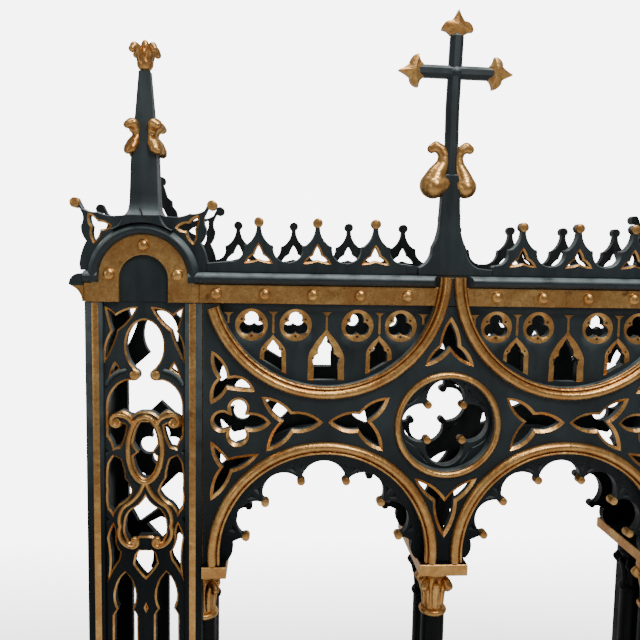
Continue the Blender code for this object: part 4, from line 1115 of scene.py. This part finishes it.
def back_openings():
    loop = arc(0, 1192, 40, 230, -50, 30, 55) + [(76, 1105), (76, 1010), (40, 1000), (0, 1038)]
    loop += [(-40, 1000), (-76, 1010), (-76, 1105)]
    four = foils([(20, 957, .72), (-20, 957, .72), (-20, 917, .72), (20, 917, .72)])
    below = [(76, 865), (76, 800), (52, 752), (0, 790), (-52, 752), (-76, 800), (-76, 865), (-40, 874),
             (0, 836), (40, 874)]
    beside = [(77, 985), (54, 937), (77, 889)]
    valley = [(0, 770), (-36, 752), (0, 712), (36, 752)]
    return head_openings() + [beside, flipped(beside), loop, four, below, valley]


def spiral(centre, start_radius, end_radius, start, turns_degrees, steps):
    points = []
    for i in range(steps + 1):
        share = i / steps
        turn = math.radians(start + turns_degrees * share)
        radius = start_radius + (end_radius - start_radius) * share
        points.append((centre[0] + radius * math.cos(turn), centre[1] + radius * math.sin(turn)))
    return points


def tower_panel(side, face, word):
    shape = bmesh.new()
    place = on_face(side, face)
    half = TOWER_CENTRE - TOWER_INNER - POST - GAP
    bottom = PLINTH_TOP + GAP
    outline = [(-half, bottom), (half, bottom), (half, BOARD_TOP), (-half, BOARD_TOP)]
    rail = bottom + 130
    shapes = (front_openings() if face == FRONT else back_openings()) + lancet_pair(rail)
    edging = (THIN_GILT, 3.0, GILT) if face == FRONT else (1.2, 1.2, PAINT)
    openings = [sunk(from_middle(points), *edging) for points in shapes]
    notches = [[(78.5, z + 8), (71, z), (78.5, z - 8)] for z in (978, 838)]
    notches = [from_middle(points) for notch in notches for points in (notch, flipped(notch))]
    add_panel(shape, from_middle(outline), openings, PANEL_BACK, PANEL_FRONT, place, pockets=notches)
    if face == FRONT:
        level = PANEL_FRONT + 0.5
        ring = arc(0, 983, 34, 62, 478, 56, 67)
        add_rod(shape, from_middle(ring), 5.6, level, place, GILT, 12, 6.5)
        for way in (-1, 1):
            scroll = bow((23, 1030), (46, 1053), -0.16, 8) + spiral((55, 1040), 15, 5.5, 125, -300, 22)
            tendril = bow((3, 914), (40, 868), 0.10, 8) + bow((40, 868), (50, 826), -0.14, 8)
            tendril += bow((50, 826), (30, 782), -0.22, 10) + spiral((24, 793), 12, 5, -60, -230, 14)
            bar = bow((38, 1143), (74, 1114), -0.14, 10) + [(74, 1114)]
            rods = ((scroll, 4.8, level, GILT, 6), (tendril, 4.8, level, GILT, 6),
                    (bar, 4.6, level - 1, PAINT, 5.5))
            for path, radius, depth, finish, rise in rods:
                bent = from_middle([(way * x, z) for x, z in path])
                add_rod(shape, bent, radius, depth, place, finish, 12, rise)
            discs = ((57, 1039, 9, PANEL_FRONT - 5, 3), (22, 792, 8, PANEL_FRONT - 5, 3),
                     (21, 1134, 9, PANEL_BACK + 3, 1.5))
            for x, z, radius, back, proud in discs:
                disc = disc_profile(radius, back, PANEL_FRONT + proud)
                add_knob(shape, (TOWER_CENTRE + way * x, z), disc, place, GILT)
    node = f"{word}_{side_name(side)}_tower_panel"
    make_piece(f"{word}_{side_name(side)}_pierced_panel", shape, [node], face)


def tower_posts(side, word):
    """Front posts, each with a gilt fillet down its face."""
    for across, x0, x1 in (("outer", TOWER_OUTER - POST, TOWER_OUTER),
                           ("inner", TOWER_INNER, TOWER_INNER + POST)):
        node = f"{word}_tower_post_front_{across}"
        shape = bmesh.new()
        top, bottom = high(node, 2), low(node, 2)
        spans = (sorted((side * x0, side * x1)), (low(node, 1), high(node, 1)), (bottom, top))
        add_block(shape, spans, PAINT, 1.4)
        fillet = (x1 - 27, x1 - 13) if across == "outer" else (x0 + 12, x0 + 26)
        spans = (sorted((side * fillet[0], side * fillet[1])), (low(node, 1) - 0.8, low(node, 1) + 4),
                 (bottom + 2, top - 1.5))
        add_block(shape, spans, GILT, 2.2)
        make_piece(f"{word}_{across}_gilt_post", shape, [node])


# Tower gables
def ear():
    edge = [(122, 60.3), (124, 72)] + bow((124, 72), (110, 117), 0.05, 6)[1:]
    edge += bow((110, 117), (120, 146), 0.10, 6) + bow((120, 146), (118, 172), -0.12, 6)
    edge += arc(131, 190, 10, 225, 480, 18)
    edge += bow((117, 180), (88, 173), -0.10, 5) + bow((88, 173), (50, 167), -0.08, 6) + [(34, 168)]
    return edge


def gable(side, face, word):
    shape = bmesh.new()
    place = on_face(side, face)
    centre = (TOWER_CENTRE, CORNICE_BOTTOM + 45)
    near_end, far_end = -107.5, 113.5
    shoulder = CREST_BOTTOM

    def drawn(points):
        return moved(points, TOWER_CENTRE, CORNICE_BOTTOM)
    right = drawn(ear())
    right[0] = (right[0][0], shoulder)
    left = [(2 * TOWER_CENTRE - x, z) for x, z in reversed(right)]
    outline = [(TOWER_CENTRE + near_end, CORNICE_BOTTOM), (TOWER_CENTRE + far_end, CORNICE_BOTTOM),
               (TOWER_CENTRE + far_end, shoulder)] + right + left + [(TOWER_CENTRE + near_end, shoulder)]
    triangle = foils([(106, 171, .10), (86, 158, .12), (60, 146, .12), (80, 136, .12), (96, 112, .12),
                      (102, 143, .12)])
    edging = (4.0, 3.5, GILT) if face == FRONT else (1.5, 1.5, PAINT)
    openings = [sunk(drawn(triangle), *edging), sunk(drawn(flipped(triangle)), *edging)]
    add_panel(shape, outline, openings, BEAM_BACK, BOARD_FRONT - 6, place, BOARD_RIM)
    gilt = gilt_in_front(face)
    recess, band_radius = 47, -near_end
    band_top = CORNICE_BOTTOM + BAND_HEIGHT
    reach = band_radius - 8
    drop = math.degrees(math.asin((centre[1] - band_top) / reach))
    arch = arc(*centre, reach, -drop, 180 + drop, SMOOTH_STEPS)
    pocket = arc(*centre, recess, 180, 0, 30)
    band = [(TOWER_CENTRE + far_end, CORNICE_BOTTOM), (TOWER_CENTRE + far_end, band_top)] + arch
    band += [(TOWER_CENTRE + near_end, band_top), (TOWER_CENTRE + near_end, CORNICE_BOTTOM),
             (centre[0] - recess, CORNICE_BOTTOM)] + pocket + [(centre[0] + recess, CORNICE_BOTTOM)]
    add_plate(shape, band, BOARD_FRONT - 12, BOARD_FRONT + BAND_PROUD, place, gilt, 1.0)
    if face == FRONT:
        hollow = [(centre[0] - recess + 1, CORNICE_BOTTOM + 0.4)] + arc(*centre, recess - 1, 180, 0, 30)
        hollow += [(centre[0] + recess - 1, CORNICE_BOTTOM + 0.4)]
        add_plate(shape, hollow, BOARD_FRONT - 9, BOARD_FRONT - 5.6, place, PAINT, 0.3)
    root = BOARD_FRONT - ROOT_DEPTH
    section = roll_section(band_radius - ROLL_HEIGHT, band_radius, root, BOARD_FRONT + ROLL_PROUD, 6, 0)
    add_roll(shape, centre, section, -4, 184, place, PAINT, 72)
    roll = cornice_roll(root, band_top)
    for start, end in ((near_end, near_end + 21), (band_radius - 21, far_end)):
        rings = [[place(TOWER_CENTRE + x, b, a) for a, b in roll] for x in (start, end)]
        add_sweep(shape, rings, PAINT)
    if face == FRONT:
        ring = (band_radius - ROLL_HEIGHT + recess) / 2
        for turn in (8, 90, 172):
            x, z = arc(*centre, ring, turn, turn + 1, 1)[0]
            profile = stud_profile(STUD_RADIUS, BOARD_FRONT + BAND_PROUD, STUD_RISE)
            add_knob(shape, (x, z), profile, place, GILT, 20)
        for way in (-1, 1):
            add_knob(shape, (TOWER_CENTRE + way * 131, CORNICE_BOTTOM + 190),
                     disc_profile(10, BOARD_FRONT - 14, BOARD_FRONT - 4.4), place, GILT)
        spire_front = -low(f"{side_name(side)}_spire", 1) - GAP
        seat = bow((58, 140), (34.5, 167), -0.16, 8) + [(34.5, 167)]
        seat = arc(0, 45, band_radius + 1, 122, 58, 16) + seat + flipped(seat)
        add_plate(shape, drawn(seat), BEAM_BACK - 15, spire_front, place, PAINT, 0.8)
        crack = bow((3, 179), (-2, 163), 0.1, 4) + bow((-2, 163), (-16, 157), 0.25, 5)
        add_rod(shape, drawn(crack), 1.5, spire_front, place, SHADE_AND_JOINT_DARK, 8, 0.8)
    else:
        flank = [(38, 160), (37, 174), (33, 190), (25, 199), (24, 211), (13, 220), (7, 240)]
        outline = flank + arc(0, 254, 10, -60, 240, 16) + flipped(flank)
        hole = [(-17, 172), (17, 172), (0, 206)]
        add_panel(shape, drawn(outline), [sunk(drawn(hole), 1, 1, PAINT)], CREST_BACK, CREST_FRONT, place)
    make_piece(f"{word}_{side_name(side)}_gable_head", shape, [f"{word}_{side_name(side)}_gable"], face)


def side_cornice(side, word):
    shape = bmesh.new()
    node = f"{word}_side_cornice"
    back = TOWER_OUTER + GAP
    top = CORNICE_BOTTOM + BAND_HEIGHT
    reach = -low(node, 1)
    place = on_end(side)
    cove_top = CORNICE_BOTTOM + 31
    cove = [(back, CORNICE_BOTTOM), (back + 3, CORNICE_BOTTOM)]
    cove += bow((back + 3, CORNICE_BOTTOM), (back + 25.5, cove_top), -0.16, 10)[1:]
    cove += [(back + 25.5, cove_top), (back, cove_top)]
    add_sweep(shape, [[place(a, b, y) for a, b in cove] for y in (-reach, reach)], GILT)
    nose = [(back, cove_top + 0.4), (back + 26, cove_top + 0.4)]
    nose += bow((back + 28, top - 4), (back + 3, top + 17), 0.24, 10)
    nose += [(back + 3, top + 17), (back, top + 17)]
    add_sweep(shape, [[place(a, b, y) for a, b in nose] for y in (-reach, reach)], PAINT)
    make_piece(f"{word}_side_moulding", shape, [node])


# Spires
def limb(spine, depth):
    """Lumps along a spine of (across, up, radius) points, which run together as one tapering limb."""
    lumps = []
    for (x0, z0, r0), (x1, z1, r1) in zip(spine, spine[1:]):
        steps = max(2, round(math.dist((x0, z0), (x1, z1)) / (0.35 * min(r0, r1))))
        for i in range(steps):
            s = i / steps
            r = r0 + (r1 - r0) * s
            lumps.append(((x0 + (x1 - x0) * s, 0, z0 + (z1 - z0) * s), (r, r * depth, r), 0))
    x, z, r = spine[-1]
    return lumps + [((x, 0, z), (r, r * depth, r), 0)]


def crocket():
    """One corner leaf of a spire: a full lower lobe, a waist and an upper curl, leaning out along +X."""
    lobe = limb([(40, -31, 7), (35, -26, 10.5), (29, -16, 10.5), (21, -2, 6.5)], 1.45)
    curl = limb([(21, -2, 6.5), (23, 11, 8), (31, 20, 11), (40, 17, 7.5)], 1.35)
    return carved(lobe + curl, 1.5, 4)


def finial_curl():
    lumps = limb([(8, -16, 9), (11, -4, 9), (16, 6, 9), (24, 10, 8.5), (29, 4, 7)], 1.0)
    return carved(lumps, 1.4, 4)


def spire(side, word):
    shape = bmesh.new()
    foot = low(f"{word}_spire", 2)
    levels = [(34.5, 0), (31, 5), (28.5, 12), (27, 24), (26.3, 40), (24, 113), (17, 193), (11, 273)]
    middle = TOWER_CENTRE - SPIRE_SHIFT
    flat = (SPIRE_DEPTH + low(f"{word}_spire", 1)) / -levels[0][0]
    rings = []
    for half, up in levels:
        ease = min(2.2, half * 0.16)
        ring = []
        for sx, sy in ((1, 1), (-1, 1), (-1, -1), (1, -1)):
            first = (sx * half, sy * (half - ease))
            second = (sx * (half - ease), sy * half)
            ring += [first, second] if sx * sy > 0 else [second, first]
        rings.append([Vector((side * middle + x, -SPIRE_DEPTH + flat * y, foot + up)) * MM for x, y in ring])
    add_sweep(shape, rings, PAINT)
    axis = (side * middle, -SPIRE_DEPTH)
    add_repeats(shape, crocket(), 4, (*axis, foot + 152), first_turn=45, turn_step=90)
    bud = [((0, 0, 289), (16, 16, 17), 0), ((0, 0, 304), (14, 14, 12), 0), ((0, 0, 320), (8, 8, 13), 0)]
    add_carving(shape, bud, 1.4, 3, (*axis, foot), GILT)
    add_repeats(shape, finial_curl(), 4, (*axis, foot + 306), first_turn=45, turn_step=90)
    make_piece(f"{word}_carved_spire", shape, [f"{word}_spire"])


# Cross
def cross():
    shape = bmesh.new()
    place = on_face(RIGHT, FRONT)
    foot = low("cross", 2)
    axis = -9

    def flank(reach):
        points = [(reach, 0), (reach, 13)] + bow((60, 16), (34, 56), -0.16, 8)
        points += bow((34, 56), (20.5, 115), -0.07, 6) + bow((20.5, 115), (19, 150), -0.02, 3)
        return points + [(17, 190), (12, 200)]
    outline = flank(89) + flipped(flank(61))
    rim = (1.6, 1.8, PAINT)
    add_panel(shape, moved(outline, axis, foot), [], CROSS_DEPTH - 13, CROSS_DEPTH + 13, place, rim)
    head = axis + 3
    upright = [(axis, foot + 170), (axis - 1, foot + 330), (head, foot + 466)]
    add_rod(shape, upright, 14, CROSS_DEPTH, place, PAINT, 8, 13.5, math.pi / 8)
    arms = [(-92, foot + 399), (78, foot + 397)]
    add_rod(shape, arms, 13.2, CROSS_DEPTH, place, PAINT, 8, 13, math.pi / 8)
    left = limb([(36, 179, 26), (28, 200, 20), (17, 219, 14), (14, 235, 12), (20, 248, 11), (31, 255, 10.5),
                 (40, 250, 9)], 0.95) + limb([(34, 176, 24), (18, 181, 18)], 1.2)
    right = limb([(31, 176, 22), (24, 198, 16.5), (16, 217, 12), (13, 233, 10.5), (19, 247, 10),
                  (30, 254, 10.5), (37, 250, 9)], 0.95) + limb([(30, 174, 20), (22, 179, 16)], 1.2)
    collar = [((-x, y, z), radii, 0) for (x, y, z), radii, _ in left] + right
    add_carving(shape, collar, 1.8, 3, (axis, -CROSS_DEPTH, foot), GILT)
    add_carving(shape, [((head - 1, 0, 397), (17, 15.5, 17), 0)], 2.0, 4, (0, -CROSS_DEPTH, foot), PAINT)
    fleur = foils([(-12, -13, -.12), (-3, -31, .22), (15, -13, -.04), (37, 0, -.04), (15, 13, .22),
                   (-3, 31, -.12), (-12, 13, 0)])
    for x, z, turn in ((71, 398, -3), (-83, 399, 180), (head, 480, 88)):
        cos, sin = math.cos(math.radians(turn)), math.sin(math.radians(turn))
        outline = [(x + a * cos - b * sin, foot + z + a * sin + b * cos) for a, b in fleur]
        middle = (x + 5 * cos, foot + z + 5 * sin)
        for way in (-1, 1):
            levels = [CROSS_DEPTH + way * d for d in (-1, 7, 17)]
            add_relief(shape, outline, middle, *levels, place, GILT)
    make_piece("carved_cross", shape, ["cross"])


# Columns and imposts
SHAFT_RADIUS = 25.5
CAPITAL_HEIGHT = 107


def capital_leaf(capital, radius):
    """A tongue of leafage that clings to the bell."""
    lumps = limb([(radius - 6, capital + 5, 5), (radius - 5, capital + 30, 6), (radius - 1, capital + 50, 7),
                  (radius + 4, capital + 60, 5.5)], 1.4)
    return carved(lumps, 2.0, 3)


def volute(capital, radius):
    """A stalk that rises up the bell and rolls over into a round scroll."""
    lumps = limb([(radius - 6, capital + 12, 4.5), (radius - 4, capital + 40, 6),
                  (radius + 1, capital + 58, 7), (radius + 8, capital + 65, 9),
                  (radius + 14, capital + 57, 9), (radius + 9, capital + 50, 7)], 0.95)
    return carved(lumps, 2.0, 3)


def column(x, half_side, face, piece, node):
    shape = bmesh.new()
    depth = face * COLUMN_DEPTH
    bottom, top = low(node, 2), high(node, 2)
    capital, r = top - CAPITAL_HEIGHT, SHAFT_RADIUS
    base = [(1.55 * r, bottom), (1.55 * r, bottom + 21)] + arc(1.32 * r, bottom + 28, 5, -90, 90, 8, 7)
    base += [(1.16 * r, bottom + 38), (1.12 * r, bottom + 46)] + arc(1.1 * r, bottom + 52, 4, -90, 90, 8, 5)
    shaft = [(r, bottom + 62), (r, capital - 8)]
    add_turned(shape, x, depth, base + shaft, PAINT, half_side)
    gilt = gilt_in_front(face)
    necking = [(r, capital - 13)] + arc(r, capital - 6, 4.6, -90, 90, 8, 6)
    necking += [(0.86 * r, capital + 1), (0.82 * r, capital + 12), (0.84 * r, capital + 42),
                (0.94 * r, capital + 60), (1.1 * r, capital + 72), (1.42 * r, capital + 82), (1.42 * r, top)]
    add_turned(shape, x, depth, necking, gilt, half_side)
    if half_side:
        outward = 0 if half_side > 0 else 180
        leaves, scrolls = (outward - 60, 3, 60), (outward - 50, 2, 100)
    else:
        leaves, scrolls = (0, 4, 90), (45, 4, 90)
    for carving, (first, count, turn) in ((capital_leaf, leaves), (volute, scrolls)):
        add_repeats(shape, carving(capital, r), count, (x, depth, 0), first_turn=first, turn_step=turn,
                    finish=gilt)
    # The columns take the darkened green paint as painted shade
    make_piece(piece, shape, [node], face, shade=True)


def impost(word):
    shape = bmesh.new()
    node = f"{word}_impost"
    x0, x1 = low(node, 0), high(node, 0)
    reach = high(node, 1)
    tower_end = TOWER_INNER - 1
    left, right = [0 if abs(x) > tower_end else 1 for x in (x0, x1)]
    steps = [(1.5, IMPOST_BOTTOM), (0, IMPOST_BOTTOM + 1.5), (0, IMPOST_TOP - 2), (1.2, IMPOST_TOP - 0.8)]
    top = [(2.4, IMPOST_TOP - 1.4), (2.8, IMPOST_TOP)]
    for levels, surface in ((steps, GILT), (top, PAINT)):
        rings = []
        for ease, z in levels:
            a, b = x0 + ease * left, x1 - ease * right
            c = reach - ease
            rings.append([Vector(p) * MM for p in ((a, -c, z), (b, -c, z), (b, c, z), (a, c, z))])
        add_sweep(shape, rings, surface)
    make_piece(f"{word}_gilt_impost", shape, [node])


# Put the altar together
for word, face in FACES:
    arcade_board(face, word)
    quatrefoil(face, word)
    rosette_ring(face, word)
    hanging_arcs(face, word)
    cornice(face, word)
    column(0, 0, face, f"{word}_centre_column", f"{word}_middle_column")
    for side_word, side in SIDES:
        tympanum(side, face, word)
        cusping(side, face, word)
        arch_moulding(side, face, word)
        tower_panel(side, face, word)
        gable(side, face, word)
        wall = side * (TOWER_INNER + 2 - GAP)
        column(wall, -side, face, f"{word}_{side_word}_wall_column", f"{word}_{side_word}_half_column")
for side_word, side in SIDES:
    tower_posts(side, side_word)
    side_cornice(side, side_word)
    spire(side, side_word)
    impost(side_word)
    first, start = (156, 71.3) if side == LEFT else (143, 80.3)
    places = [first + i * CREST_PITCH for i in range(3)]
    cresting(f"front_{side_word}_crest_points", [f"front_{side_word}_cresting"], places, start,
             low("front_right_gable", 0) + 19, CREST_PITCH, FRONT, side)
impost("middle")
back_end = high("back_cresting", 0)
places = [(i - 3.5) * BACK_CREST_PITCH for i in range(8)]
cresting("back_crest_points", ["back_cresting"], places, -back_end, back_end, BACK_CREST_PITCH, BACK, RIGHT)
cross()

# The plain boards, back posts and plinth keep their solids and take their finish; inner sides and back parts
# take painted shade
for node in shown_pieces():
    if node.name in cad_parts:
        shaded = "inner_side" in node.name or "back" in node.name
        node.data.materials.clear()
        node.data.materials.append(PAINTED_SHADE_GREEN if shaded else GREEN)


# Studio: a pale sheet that sweeps up behind the altar, soft lights and the camera
def backdrop():
    shape = bmesh.new()
    half, near, back, sweep, top = 7.0, -5.0, 3.2, 1.5, 7.0
    glow_start, glow_end, strength = 0.2, back - 1.4, 6
    profile = [(near, 0.0)] + arc(back - sweep, sweep, sweep, -90, 0, 12) + [(back, top)]
    rows = [[shape.verts.new((x, y, z)) for x in (-half, half)] for y, z in profile]
    for first, second in zip(rows, rows[1:]):
        shape.faces.new([first[0], first[1], second[1], second[0]])
    mesh = as_mesh("studio_floor", shape)
    mesh.shade_smooth()
    material, nodes, links, shader, place = wood_shader("pale studio sheet", 0.85, 0.0)
    clouds = patches(nodes, links, place, 0.8, 2, 0.3, 0.7)
    colour = mixed(nodes, links, clouds, (0.86, 0.86, 0.86), (0.89, 0.89, 0.89))
    links.new(colour, shader.inputs["Base Color"])
    # Painted light: the sheet glows more towards the back and only the camera sees it, so the background
    # looks white without lighting the altar
    glow = ranged(nodes, links, along_axis(nodes, links, place, "Y"), (glow_start, glow_end), (0, strength))
    seen = nodes.new("ShaderNodeLightPath").outputs["Is Camera Ray"]
    links.new(multiplied(nodes, links, glow, seen), shader.inputs["Emission Strength"])
    shader.inputs["Emission Color"].default_value = (1, 1, 1, 1)
    mesh.materials.append(material)
    return in_scene("studio_floor", mesh)


def soft_light(name, where, target, width, height, power):
    data = bpy.data.lights.new(name, "AREA")
    data.shape = "RECTANGLE"
    data.size, data.size_y = width, height
    data.energy = power
    lamp = in_scene(name, data)
    lamp.location = where
    lamp.rotation_euler = (Vector(target) - Vector(where)).to_track_quat("-Z", "Y").to_euler()


backdrop()
soft_light("key_light", (0.9, -2.4, 3.9), (-0.2, 0, 1.2), 1.2, 0.9, 82)
soft_light("fill_light", (-3.0, -2.2, 2.0), (-0.2, 0, 1.1), 1.0, 1.6, 9)
soft_light("top_light", (-0.4, -0.5, 4.4), (-0.2, 0, 1.0), 2.4, 0.8, 62)
ROOM_LIGHT = 0.22
world = bpy.data.worlds.new("studio")
world.use_nodes = True
world.node_tree.nodes["Background"].inputs["Color"].default_value = (1, 1, 1, 1)
world.node_tree.nodes["Background"].inputs["Strength"].default_value = ROOM_LIGHT
bpy.context.scene.world = world

# The photograph's camera: beside the left tower, level with the tracery, looking a little right and down
CAMERA_PLACE = Vector((-0.3576, -1.500, 1.380))
LENS_IN_PIXELS, PICTURE, SENSOR = 700, 640, 36
YAW, PITCH, ROLL = 0.0669, 0.0945, 0.0178
ahead = Vector((math.sin(YAW) * math.cos(PITCH), math.cos(YAW) * math.cos(PITCH), -math.sin(PITCH)))
level_right = Vector((math.cos(YAW), -math.sin(YAW), 0))
level_up = level_right.cross(ahead)
right = level_right * math.cos(ROLL) + level_up * math.sin(ROLL)
up = level_up * math.cos(ROLL) - level_right * math.sin(ROLL)
turned = Matrix((right, up, -ahead)).transposed()
data = bpy.data.cameras.new("photo_camera")
data.sensor_width = SENSOR
data.lens = LENS_IN_PIXELS / PICTURE * SENSOR
camera = in_scene("photo_camera", data)
camera.matrix_world = Matrix.Translation(CAMERA_PLACE) @ turned.to_4x4()
bpy.context.scene.camera = camera

bpy.context.view_layer.update()
